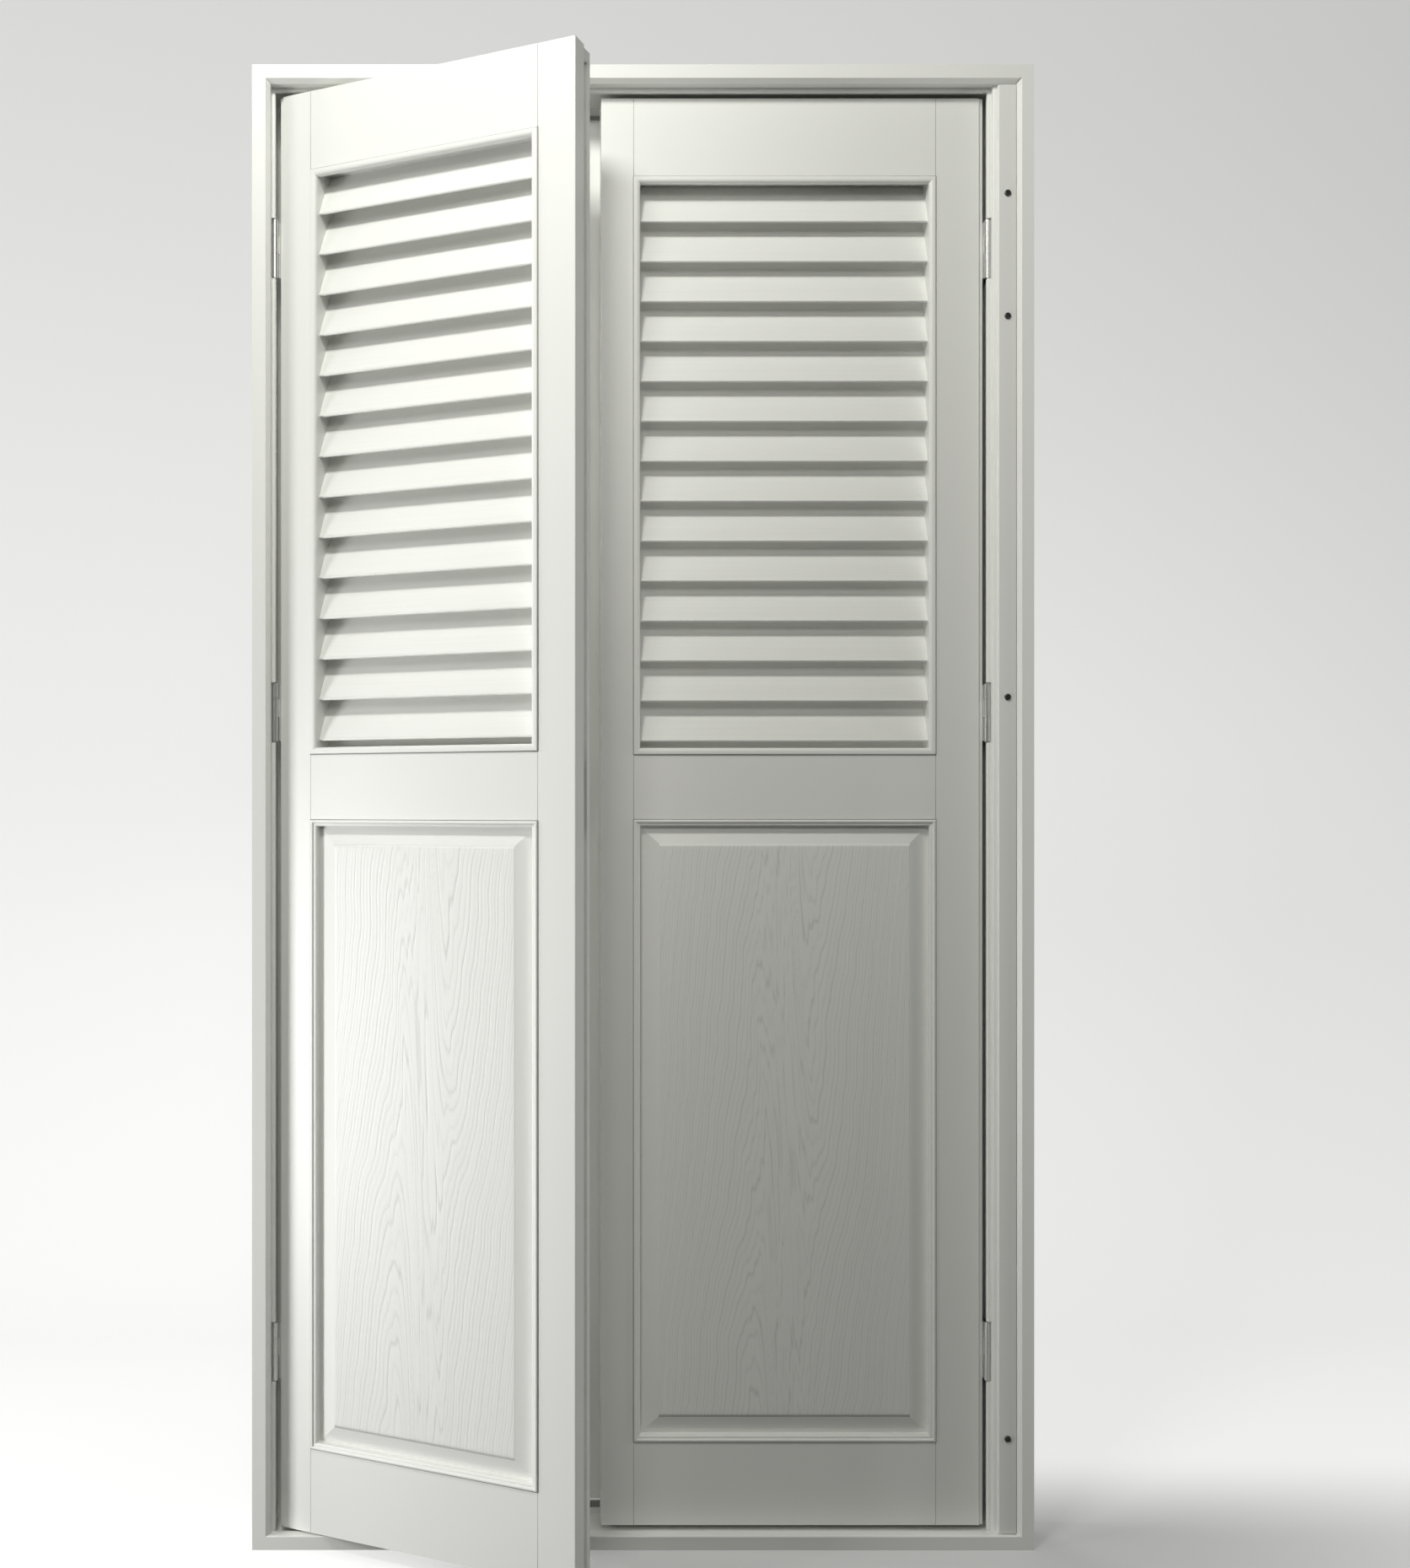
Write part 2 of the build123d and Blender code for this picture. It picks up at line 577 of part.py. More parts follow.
def slat_section(y, z):
    """Curved blade with a rolled lip, drawn with its lip at (y, z) and rising to the rear."""
    along = Vector(SLAT_RUN, SLAT_RISE).normalized()
    across = Vector(-along.Y, along.X) * (SLAT_THICKNESS / 2)
    low, high = Vector(y, z), Vector(y + SLAT_RUN, z + SLAT_RISE)
    middle = (low + high) * 0.5 + across.normalized() * SLAT_BULGE
    front = ThreePointArc(low + across, middle + across, high + across)
    rear = ThreePointArc(high - across, middle - across, low - across)
    blade = make_face([front, Line(high + across, high - across), rear, Line(low - across, low + across)])
    return blade + Pos(y, z) * Circle(SLAT_LIP_RADIUS)


def make_slats(x0, x1):
    """Bank of fixed slats between the side channels, trimmed at the rails.
    The lowest piece is only a blade's upper part, above the middle rail."""
    x0, x1 = x0 + LOUVER_BEAD_WIDTH, x1 - LOUVER_BEAD_WIDTH
    plane = Plane(origin=(x0, 0, 0), x_dir=(0, 1, 0), z_dir=(1, 0, 0))
    opening = block(x0, x1, 0, LEAF_THICKNESS, LOUVER_BOTTOM, LOUVER_TOP)
    slats = []
    for i in range(-1, SLAT_COUNT):
        z = LOUVER_BOTTOM + FIRST_LIP_HEIGHT + i * SLAT_PITCH
        slat = extrude(plane * slat_section(SLAT_FRONT, z), amount=x1 - x0)
        if z < LOUVER_BOTTOM or z + SLAT_RISE + SLAT_THICKNESS > LOUVER_TOP:
            slat = slat & opening
        slats.append(slat)
    return merged(slats)


def raised_body(x0, x1, z0, z1, inset):
    """Solid of one tray's outer form, shrunk all round by the inset."""
    edge_y, field_y = PANEL_EDGE_DEPTH + inset, PANEL_FIELD_DEPTH + inset
    a = PANEL_BEAD_WIDTH + inset
    side, end = FIELD_SIDE_MARGIN + inset / 2, FIELD_END_MARGIN + inset / 2
    base = block(x0 + inset, x1 - inset, edge_y, LEAF_THICKNESS / 2, z0 + inset, z1 - inset)
    foot = rectangle_at(x0 + a, x1 - a, z0 + a, z1 - a, edge_y)
    field = rectangle_at(x0 + side, x1 - side, z0 + end, z1 - end, field_y)
    return base + loft([foot, field])


def rectangle_at(x0, x1, z0, z1, y):
    """Upright rectangle facing the viewer."""
    plane = Plane(origin=((x0 + x1) / 2, y, (z0 + z1) / 2), x_dir=(1, 0, 0), z_dir=(0, -1, 0))
    return plane * Rectangle(x1 - x0, z1 - z0)


def make_tray(x0, x1):
    """Pressed front tray of the raised panel, open at the panel's middle."""
    outer = raised_body(x0, x1, PANEL_BOTTOM, PANEL_TOP, 0)
    inner = raised_body(x0, x1, PANEL_BOTTOM, PANEL_TOP, TRAY_THICKNESS)
    return outer - inner


def make_end_caps(leaf_width, widths):
    """Plugs in the open ends of both stiles."""
    outlines = (hinge_stile_outline(widths[0]), meeting_stile_outline(leaf_width, widths[1]))
    caps = []
    for face in outlines:
        inner = offset(face, amount=-LEAF_WALL, kind=Kind.INTERSECTION)
        for z in (LEAF_BOTTOM, LEAF_TOP - END_CAP_THICKNESS):
            caps.append(extrude(Plane(origin=(0, 0, z)) * inner, amount=END_CAP_THICKNESS))
    return merged(caps)


def hinge_screw_places():
    """Height of each hinge screw, two to a plate."""
    return [z + d for z in HINGE_CENTRES for d in (-HINGE_SCREW_OFFSET, HINGE_SCREW_OFFSET)]


def hinge_screw_y(in_frame):
    """Depth of the hinge screws' axes, from the leaf's face or in the row's frame."""
    return HINGE_PLATE_DEPTH / 2 + (LEAF_Y if in_frame else 0)


def hinge_screw_hole(x, z, way):
    """Clearance hole for one hinge screw through a hollow wall."""
    in_frame = x != 0
    y = hinge_screw_y(in_frame)
    start = (x - way, y, z)
    return rod(HINGE_SCREW_RADIUS + HINGE_SCREW_CLEARANCE, start, (way, 0, 0), LEAF_WALL + 2)


def countersunk_screw(x, y, z, way, head_radius, radius, length, head_depth):
    """Countersunk screw whose head lies flush at x and whose shank runs along way."""
    plane = Plane(origin=(x, y, z), z_dir=(way, 0, 0))
    profile = outline([(0, 0), (head_radius, 0), (radius, head_depth), (radius, length), (0, length)])
    side = Plane(origin=plane.origin, x_dir=plane.x_dir, z_dir=plane.y_dir * -1)
    return revolve(side * profile, axis=Axis(plane.origin, plane.z_dir))


def make_hinge_screws(x, way, in_frame):
    """Countersunk screws of one side of one leaf's three hinges."""
    y = hinge_screw_y(in_frame)
    head_x = x - way * HINGE_PLATE_THICKNESS
    return [
        countersunk_screw(head_x, y, z, way, HINGE_SCREW_HEAD_RADIUS, HINGE_SCREW_RADIUS,
                          HINGE_SCREW_LENGTH, HINGE_PLATE_THICKNESS)
        for z in hinge_screw_places()
    ]


def knuckle_spans(outer):
    """Heights of the knuckles of one hinge half, from the hinge's bottom."""
    low, high = (s * HINGE_HEIGHT for s in KNUCKLE_SPLITS)
    half_gap = KNUCKLE_GAP / 2
    if outer:
        return [(0, low - half_gap), (high + half_gap, HINGE_HEIGHT)]
    return [(low + half_gap, high - half_gap)]


def hinge_half(axis_x, axis_y, z_middle, way, outer):
    """Plate and knuckles of one hinge half; way points from the axis to the plate's wall."""
    z0 = z_middle - HINGE_HEIGHT / 2
    wall = axis_x + way * KNUCKLE_RADIUS
    inside = wall - way * HINGE_PLATE_THICKNESS
    x0, x1 = sorted((wall, inside))
    plate_y = axis_y + HINGE_AXIS_FORWARD
    half = block(x0, x1, plate_y, plate_y + HINGE_PLATE_DEPTH, z0, z0 + HINGE_HEIGHT)
    for a, b in knuckle_spans(outer):
        half += rod(KNUCKLE_RADIUS, (axis_x, axis_y, z0 + a), (0, 0, 1), b - a)
        half += block(x0, x1, axis_y, plate_y + 1, z0 + a, z0 + b)
    half -= rod(PIN_RADIUS + PIN_CLEARANCE, (axis_x, axis_y, z0 - 1), (0, 0, 1), HINGE_HEIGHT + 2)
    for z in (z_middle - HINGE_SCREW_OFFSET, z_middle + HINGE_SCREW_OFFSET):
        y = plate_y + HINGE_PLATE_DEPTH / 2
        half -= countersunk_screw(inside, y, z, way, HINGE_SCREW_HEAD_RADIUS,
                                  HINGE_SCREW_RADIUS, HINGE_SCREW_LENGTH, HINGE_PLATE_THICKNESS)
    return half


def hinge_pin(x, z_middle):
    """Pin with a small head at each end."""
    z0 = z_middle - HINGE_HEIGHT / 2
    pin = rod(PIN_RADIUS, (x, AXIS_Y, z0), (0, 0, 1), HINGE_HEIGHT)
    pin += rod(PIN_HEAD_RADIUS, (x, AXIS_Y, z0 + HINGE_HEIGHT), (0, 0, 1), PIN_HEAD_HEIGHT)
    return pin + rod(PIN_HEAD_RADIUS, (x, AXIS_Y, z0 - PIN_HEAD_HEIGHT), (0, 0, 1), PIN_HEAD_HEIGHT)


def leaf_parts(leaf_width, widths):
    """All pieces that both leaves have, in the left leaf's own frame."""
    x0, x1 = widths[0], leaf_width - widths[1]
    panel = (x0, x1, PANEL_BOTTOM, PANEL_TOP)
    front_tray, back_tray = both_faces(make_tray(x0, x1), x0, x1)
    parts = {
        "hinge_stile": make_hinge_stile(widths[0]),
        "meeting_stile": make_meeting_stile(leaf_width, widths[1]),
        "top_rail": make_rail(x0, x1, LOUVER_TOP, LEAF_TOP),
        "middle_rail": make_rail(x0, x1, PANEL_TOP, LOUVER_BOTTOM),
        "bottom_rail": make_rail(x0, x1, LEAF_BOTTOM, PANEL_BOTTOM),
        "shear_blocks": make_shear_blocks(x0, x1),
        "louver_beads": make_louver_beads(x0, x1),
        "louver_slats": make_slats(x0, x1),
        "panel_front": front_tray,
        "panel_back": back_tray,
        "panel_beads": make_beads(panel_bead_section(), *panel, PANEL_BEAD_WIDTH, PANEL_BEAD_PROUD),
        "end_caps": make_end_caps(leaf_width, widths),
        "hinge_screws": merged(make_hinge_screws(0, 1, False)),
    }
    for name, z in zip(("lower", "middle", "upper"), HINGE_CENTRES):
        parts[name + "_hinge_plate"] = hinge_half(-AXIS_INSET, -HINGE_AXIS_FORWARD, z, 1, False)
    return parts


def groove_window(leaf_width, half_y, half_z):
    """Cut through the groove's floor at the lock's height."""
    x = leaf_width - GROOVE_DEPTH
    return block(x - LEAF_WALL - 1, x + 1, GROOVE_MIDDLE - half_y, GROOVE_MIDDLE + half_y,
                 LOCK_HEIGHT - half_z, LOCK_HEIGHT + half_z)


def groove_plate(leaf_width):
    """Plate in the hardware groove, with round ends and a window for the bolt."""
    x = leaf_width - GROOVE_DEPTH
    width = GROOVE_WIDTH - 2 * FACEPLATE_SIDE_GAP
    plane = Plane(origin=(x, GROOVE_MIDDLE, LOCK_HEIGHT), x_dir=(0, 0, 1), z_dir=(1, 0, 0))
    plate = extrude(plane * SlotOverall(FACEPLATE_HEIGHT, width), amount=FACEPLATE_THICKNESS)
    half_y = BOLT_THICKNESS / 2 + BOLT_CLEARANCE
    half_z = BOLT_HEIGHT / 2 + BOLT_CLEARANCE
    plate -= block(x - 1, x + FACEPLATE_THICKNESS + 1, GROOVE_MIDDLE - half_y, GROOVE_MIDDLE + half_y,
                   LOCK_HEIGHT - half_z, LOCK_HEIGHT + half_z)
    for screw in faceplate_screws(leaf_width):
        plate -= screw
    return plate


def faceplate_screws(leaf_width):
    """Two countersunk screws through the plate in the groove."""
    x = leaf_width - GROOVE_DEPTH + FACEPLATE_THICKNESS
    return [
        countersunk_screw(x, GROOVE_MIDDLE, LOCK_HEIGHT + d, -1, FACEPLATE_SCREW_HEAD_RADIUS,
                          FACEPLATE_SCREW_RADIUS, FACEPLATE_SCREW_LENGTH, FACEPLATE_THICKNESS)
        for d in (-FACEPLATE_SCREW_OFFSET, FACEPLATE_SCREW_OFFSET)
    ]


def faceplate_screw_holes(leaf_width):
    """Clearance holes for those screws in the groove's floor."""
    x = leaf_width - GROOVE_DEPTH + 1
    radius = FACEPLATE_SCREW_RADIUS + FACEPLATE_SCREW_CLEARANCE
    return [
        rod(radius, (x, GROOVE_MIDDLE, LOCK_HEIGHT + d), (-1, 0, 0), LEAF_WALL + 2)
        for d in (-FACEPLATE_SCREW_OFFSET, FACEPLATE_SCREW_OFFSET)
    ]


def make_lock_case(leaf_width):
    """Hollow case behind the groove's floor, open where the bolt and spindle pass."""
    x1 = leaf_width - GROOVE_DEPTH
    x0 = x1 - LOCK_CASE_DEPTH
    half_y, half_z = LOCK_CASE_THICKNESS / 2, LOCK_CASE_HEIGHT / 2
    w = LOCK_CASE_WALL
    case = block(x0, x1, GROOVE_MIDDLE - half_y, GROOVE_MIDDLE + half_y,
                 LOCK_HEIGHT - half_z, LOCK_HEIGHT + half_z)
    case -= block(x0 + w, x1 + 1, GROOVE_MIDDLE - half_y + w, GROOVE_MIDDLE + half_y - w,
                  LOCK_HEIGHT - half_z + w, LOCK_HEIGHT + half_z - w)
    return case - spindle_bore(leaf_width)


def spindle_place(leaf_width):
    return leaf_width - SPINDLE_INSET, LOCK_HEIGHT - SPINDLE_DROP


def spindle_bore(leaf_width):
    """Bore from inside the case out through the back of the stile."""
    x, z = spindle_place(leaf_width)
    return rod(SPINDLE_RADIUS + SPINDLE_CLEARANCE, (x, GROOVE_MIDDLE, z), (0, 1, 0), LEAF_THICKNESS)


def make_lock_bolt(leaf_width):
    """Bolt drawn back flush with the faceplate."""
    x1 = leaf_width - GROOVE_DEPTH + FACEPLATE_THICKNESS
    bolt = block(x1 - BOLT_LENGTH, x1, GROOVE_MIDDLE - BOLT_THICKNESS / 2,
                 GROOVE_MIDDLE + BOLT_THICKNESS / 2, LOCK_HEIGHT - BOLT_HEIGHT / 2,
                 LOCK_HEIGHT + BOLT_HEIGHT / 2)
    nose = bolt.faces().sort_by(Axis.X)[-1]
    return chamfer(nose.edges(), BOLT_NOSE_CHAMFER)


def make_thumb_turn(leaf_width):
    """Oval knob and spindle in one piece, on the back of the leaf."""
    x, z = spindle_place(leaf_width)
    back = LEAF_THICKNESS + ROSE_THICKNESS + BOLT_CLEARANCE
    start = GROOVE_MIDDLE + LOCK_CASE_THICKNESS / 2 - LOCK_CASE_WALL - 1
    spindle = rod(SPINDLE_RADIUS, (x, start, z), (0, 1, 0), back - start + 1)
    plane = Plane(origin=(x, back, z), x_dir=(0, 0, 1), z_dir=(0, 1, 0))
    knob = extrude(plane * SlotOverall(TURN_LENGTH, TURN_WIDTH), amount=TURN_HEIGHT)
    tip = knob.faces().sort_by(Axis.Y)[-1]
    return fillet(tip.edges(), TURN_EDGE_RADIUS) + spindle


def make_rose(leaf_width):
    """Round plate around the spindle."""
    x, z = spindle_place(leaf_width)
    rose = rod(ROSE_RADIUS, (x, LEAF_THICKNESS, z), (0, 1, 0), ROSE_THICKNESS)
    rim = rose.faces().sort_by(Axis.Y)[-1].edges()
    return chamfer(rim, ROSE_CHAMFER) - spindle_bore(leaf_width)


def lock_parts(leaf_width):
    return {
        "lock_case": make_lock_case(leaf_width),
        "lock_faceplate": groove_plate(leaf_width),
        "lock_screws": merged(faceplate_screws(leaf_width)),
        "lock_bolt": make_lock_bolt(leaf_width),
        "thumb_turn": make_thumb_turn(leaf_width),
        "thumb_turn_rose": make_rose(leaf_width),
    }


def cut_for_lock(stile, leaf_width):
    """Room for the lock case, its screws and the spindle in the left meeting stile."""
    half_y = LOCK_CASE_THICKNESS / 2 + BLOCK_CLEARANCE
    half_z = LOCK_CASE_HEIGHT / 2 + BLOCK_CLEARANCE
    stile -= groove_window(leaf_width, half_y, half_z)
    for hole in faceplate_screw_holes(leaf_width):
        stile -= hole
    return stile - spindle_bore(leaf_width)


def cut_for_strike(stile, leaf_width):
    """Pocket behind the strike plate in the right meeting stile."""
    half_y = BOLT_THICKNESS / 2 + KEEP_CLEARANCE
    half_z = BOLT_HEIGHT / 2 + KEEP_CLEARANCE
    stile -= groove_window(leaf_width, half_y, half_z)
    for hole in faceplate_screw_holes(leaf_width):
        stile -= hole
    return stile


def flush_bar(leaf_width, z0, lever_z):
    """Flush bolt bar in the edge groove, with its small pull."""
    x = leaf_width - FLUSH_BAR_INSET
    face_x, half_y = x + FLUSH_BAR_THICKNESS / 2, FLUSH_BAR_WIDTH / 2
    y0, y1 = GROOVE_MIDDLE - half_y, GROOVE_MIDDLE + half_y
    bar = block(face_x - FLUSH_BAR_THICKNESS, face_x, y0, y1, z0, z0 + FLUSH_BAR_LENGTH)
    ends = [bar.faces().sort_by(Axis.Z)[i].edges().filter_by(Axis.X) for i in (0, -1)]
    bar = chamfer(ends[0] + ends[1], FLUSH_BAR_CHAMFER)
    half_z = FLUSH_LEVER_HEIGHT / 2
    pull = block(face_x - 1, face_x + FLUSH_LEVER_PROUD, y0 + half_y / 2, y1 - half_y / 2,
                 lever_z - half_z, lever_z + half_z)
    return bar + pull


def make_flush_guides(leaf_width):
    """Keeper plates that hold the flush bolt bars in the groove, clear of the pulls' travel."""
    x0 = leaf_width - FLUSH_BAR_INSET + FLUSH_BAR_THICKNESS / 2 + FLUSH_CLEARANCE
    pull_room = FLUSH_LEVER_INSET + FLUSH_LEVER_HEIGHT / 2 + FLUSH_TRAVEL + FLUSH_PULL_ROOM
    low_inner = LEAF_BOTTOM + FLUSH_BAR_RETRACT + FLUSH_BAR_LENGTH - pull_room
    high_inner = LEAF_TOP - FLUSH_BAR_RETRACT - FLUSH_BAR_LENGTH + pull_room
    starts = (LEAF_BOTTOM + FLUSH_GUIDE_END_INSET, low_inner - FLUSH_GUIDE_LENGTH, high_inner,
              LEAF_TOP - FLUSH_GUIDE_END_INSET - FLUSH_GUIDE_LENGTH)
    return merged([
        block(x0, x0 + FLUSH_GUIDE_THICKNESS, GROOVE_FRONT, GROOVE_FRONT + GROOVE_WIDTH,
              z, z + FLUSH_GUIDE_LENGTH)
        for z in starts
    ])


def make_astragal(leaf_width):
    """Cover strip on the back of the right leaf, lapping behind the left one."""
    back, t = LEAF_THICKNESS, ASTRAGAL_THICKNESS
    fin = leaf_width - FIN_SETBACK
    tip = leaf_width + MEETING_GAP + ASTRAGAL_LAP
    face = outline([
        (leaf_width - ASTRAGAL_SEAT, back), (fin, back), (fin, back + ASTRAGAL_RELIEF),
        (tip, back + ASTRAGAL_RELIEF), (tip, back + t), (leaf_width - ASTRAGAL_SEAT, back + t),
    ])
    z0 = SILL_STOP_HEIGHT + ASTRAGAL_END_GAP
    z1 = FRAME_HEIGHT - JAMB_BOX_WIDTH - STOP_REACH - ASTRAGAL_END_GAP
    return extrude(Plane(origin=(0, 0, z0)) * face, amount=z1 - z0)


def passive_parts(leaf_width):
    """Pieces that only the right leaf has."""
    low = LEAF_BOTTOM + FLUSH_BAR_RETRACT
    high = LEAF_TOP - FLUSH_BAR_RETRACT - FLUSH_BAR_LENGTH
    low_pull = low + FLUSH_BAR_LENGTH - FLUSH_LEVER_INSET
    return {
        "strike_plate": groove_plate(leaf_width),
        "strike_screws": merged(faceplate_screws(leaf_width)),
        "lower_flush_bolt": flush_bar(leaf_width, low, low_pull),
        "upper_flush_bolt": flush_bar(leaf_width, high, high + FLUSH_LEVER_INSET),
        "flush_bolt_guides": make_flush_guides(leaf_width),
        "astragal": make_astragal(leaf_width),
    }


def place_left(part):
    """Move a left leaf part into the frame and swing it open about its hinge axis."""
    axis_x = LEFT_HINGE_X - AXIS_INSET
    closed = Pos(LEFT_HINGE_X, LEAF_Y, 0) * part
    return closed.rotate(Axis((axis_x, AXIS_Y, 0), (0, 0, 1)), -LEFT_LEAF_OPEN)


def place_right(part):
    """Mirror a part drawn for the left side and move it into the frame, closed."""
    return Pos(RIGHT_HINGE_X, LEAF_Y, 0) * mirror(part, about=Plane.YZ)


def frame_parts():
    left_axis = LEFT_HINGE_X - AXIS_INSET
    right_axis = RIGHT_HINGE_X + AXIS_INSET
    left_wall = LEFT_HINGE_X - 2 * KNUCKLE_RADIUS
    right_wall = RIGHT_HINGE_X + 2 * KNUCKLE_RADIUS
    screws = make_hinge_screws(left_wall, -1, True) + make_hinge_screws(right_wall, 1, True)
    parts = {
        "frame_head": make_head(),
        "frame_sill": make_sill(),
        "frame_left_jamb": make_jamb(jamb_core(), JAMB_BOX_WIDTH, "left"),
        "frame_right_jamb": make_jamb(right_jamb_core(), RIGHT_BOX_WIDTH, "right"),
        "frame_corner_cleats": make_cleats(),
        "frame_gasket": make_gasket(),
        "fixing_strip": make_fixing_strip(),
        "fixing_strip_screws": make_strip_screws(),
        "frame_hinge_screws": merged(screws),
        "hinge_pins": merged([hinge_pin(x, z) for x in (left_axis, right_axis) for z in HINGE_CENTRES]),
    }
    for name, z in zip(("lower", "middle", "upper"), HINGE_CENTRES):
        parts["left_" + name + "_frame_hinge_plate"] = hinge_half(left_axis, AXIS_Y, z, -1, True)
        parts["right_" + name + "_frame_hinge_plate"] = hinge_half(right_axis, AXIS_Y, z, 1, True)
    return parts


def build():
    """Every node of the door in its place."""
    nodes = frame_parts()
    left = leaf_parts(LEFT_LEAF_WIDTH, LEFT_STILE_WIDTHS)
    left["meeting_stile"] = cut_for_lock(left["meeting_stile"], LEFT_LEAF_WIDTH)
    for name, part in left.items():
        nodes["left_" + name] = place_left(part)
    for name, part in lock_parts(LEFT_LEAF_WIDTH).items():
        nodes[name] = place_left(part)
    right = leaf_parts(RIGHT_LEAF_WIDTH, RIGHT_STILE_WIDTHS)
    right["meeting_stile"] = cut_for_strike(right["meeting_stile"], RIGHT_LEAF_WIDTH)
    for name, part in right.items():
        nodes["right_" + name] = place_right(part)
    for name, part in passive_parts(RIGHT_LEAF_WIDTH).items():
        nodes[name] = place_right(part)
    return nodes


os.makedirs("parts", exist_ok=True)
for node_name, node in build().items():
    export_step(node, f"parts/{node_name}.step")
    print(node_name, len(node.solids()), "solids", round(node.volume), "mm3")
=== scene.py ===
# %% [markdown]
# # A white louvred door shutter in its frame
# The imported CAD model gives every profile, slat and hinge in its true place, in metres, with the front facing -Y.
# This notebook dresses it: powder coat on the aluminium, pressed wood grain on the two panels, satin steel on the
# hinges and the lock, and a pale studio around it all. Nothing of the CAD model is moved.

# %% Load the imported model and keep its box
import json
import math

import bpy
import numpy as np
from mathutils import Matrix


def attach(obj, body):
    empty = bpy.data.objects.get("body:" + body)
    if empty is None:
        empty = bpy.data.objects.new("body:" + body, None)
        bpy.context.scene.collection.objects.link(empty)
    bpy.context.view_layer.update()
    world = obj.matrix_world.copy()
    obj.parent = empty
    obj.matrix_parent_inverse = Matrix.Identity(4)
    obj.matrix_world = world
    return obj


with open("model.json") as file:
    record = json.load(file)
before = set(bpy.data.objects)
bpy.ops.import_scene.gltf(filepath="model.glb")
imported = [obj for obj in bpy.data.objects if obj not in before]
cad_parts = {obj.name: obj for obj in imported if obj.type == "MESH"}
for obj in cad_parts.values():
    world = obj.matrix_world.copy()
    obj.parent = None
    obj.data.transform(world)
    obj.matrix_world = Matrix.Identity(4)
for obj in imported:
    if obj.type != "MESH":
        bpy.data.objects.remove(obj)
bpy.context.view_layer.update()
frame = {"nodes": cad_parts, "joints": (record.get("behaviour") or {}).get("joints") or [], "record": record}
NODES = frame["nodes"]

# %% [markdown]
# ## The camera
# The shutter was photographed with the lens level at chest height, a little left of the middle. A level lens keeps
# upright edges upright, and the frame is brought back into the picture with a small lens shift, as a view camera
# does it, instead of by tilting.

# %% Camera
LENS, SENSOR = 37.94, 36.0        # millimetres; the sensor is the picture's longer side
EYE = (-0.194, -2.385, 1.057)
SHIFT = (0.127, 0.0116)           # shares of the longer side

camera_data = bpy.data.cameras.new("camera")
camera_data.lens = LENS
camera_data.sensor_width = SENSOR
camera_data.shift_x, camera_data.shift_y = SHIFT
camera = bpy.data.objects.new("camera", camera_data)
camera.location = EYE
camera.rotation_euler = (math.pi / 2, 0.0, 0.0)
bpy.context.scene.collection.objects.link(camera)
bpy.context.scene.camera = camera
print("camera at", EYE, "lens", LENS)

# %% [markdown]
# ## Surfaces from arrays
# Every new piece is a surface over two parameters. Blender's own primitives could be pulled into shape by hand, but
# a shape that is a formula can be read and changed by its numbers. So a grid of points is worked out at once with
# numpy, and the faces follow from the grid's row and column numbers: no vertex is ever handled on its own.

# %% Grid of points to a mesh
def grid_faces(rows, columns, closed=False):
    """Quads of a rows x columns grid of points; closed joins the last column to the first.
    Point number = row * columns + column, and a quad takes the four points round each cell."""
    last = columns if closed else columns - 1
    r, c = np.meshgrid(np.arange(rows - 1), np.arange(last), indexing="ij")
    a = r * columns + c
    b = r * columns + (c + 1) % columns
    return np.stack([a, b, b + columns, a + columns], axis=-1).reshape(-1, 4)


def new_piece(name, points, faces):
    """A smooth mesh object at the origin, with its place in its points. faces lists each face's point numbers."""
    mesh = bpy.data.meshes.new(name)
    mesh.from_pydata(points.tolist(), [], faces)
    mesh.polygons.foreach_set("use_smooth", np.ones(len(mesh.polygons), dtype=bool))
    mesh.validate()
    mesh.update()
    piece = bpy.data.objects.new(name, mesh)
    bpy.context.scene.collection.objects.link(piece)
    return piece


print("faces of a grid of 2 x 3 points", grid_faces(2, 3).tolist())

# %% [markdown]
# ## The open leaf
# The left leaf stands open, turned about its hinge pins. Pieces for it could be drawn in its turned place, but then
# every formula would carry the angle. They are worked out as if the leaf were shut and then turned with it, so the
# same formula serves both leaves.

# %% Turning with the left leaf
hinge = next(j for j in frame["joints"] if j["child"] == "left_leaf")
OPEN_ANGLE = math.radians(min(hinge["range_deg"]))
AXIS = np.array(hinge["pos_m"][:2])
ON_LEFT_LEAF = set(frame["record"]["behaviour"]["bodies"]["left_leaf"])


def turned(points, angle):
    """Points turned about the left hinge pins: x' = cx - sy, y' = sx + cy, measured from the pins."""
    c, s = math.cos(angle), math.sin(angle)
    flat = points[:, :2] - AXIS
    out = points.copy()
    out[:, 0] = AXIS[0] + c * flat[:, 0] - s * flat[:, 1]
    out[:, 1] = AXIS[1] + s * flat[:, 0] + c * flat[:, 1]
    return out


def shut_box(node):
    """Lowest and highest corner of a node with its leaf shut."""
    points = np.array([v.co for v in NODES[node].data.vertices])
    if node in ON_LEFT_LEAF:
        points = turned(points, -OPEN_ANGLE)
    return points.min(0), points.max(0)


print("left panel, shut", shut_box("left_panel_front"))

# %% [markdown]
# ## Pressed wood grain
# The raised fields of both panels are pressed with the grain of a flat-sawn board: rings of a tree cut lengthwise
# show as tall narrow arches, crowded into straight lines at the sides. Which ring a point lies on needs only its
# distance from the nearer heart line and its height up the tapering board, so one formula gives the whole sheet.
# It could be a bump pattern alone, but the grooves catch the light at the real panel's edges too, so they are cut
# into the mesh.

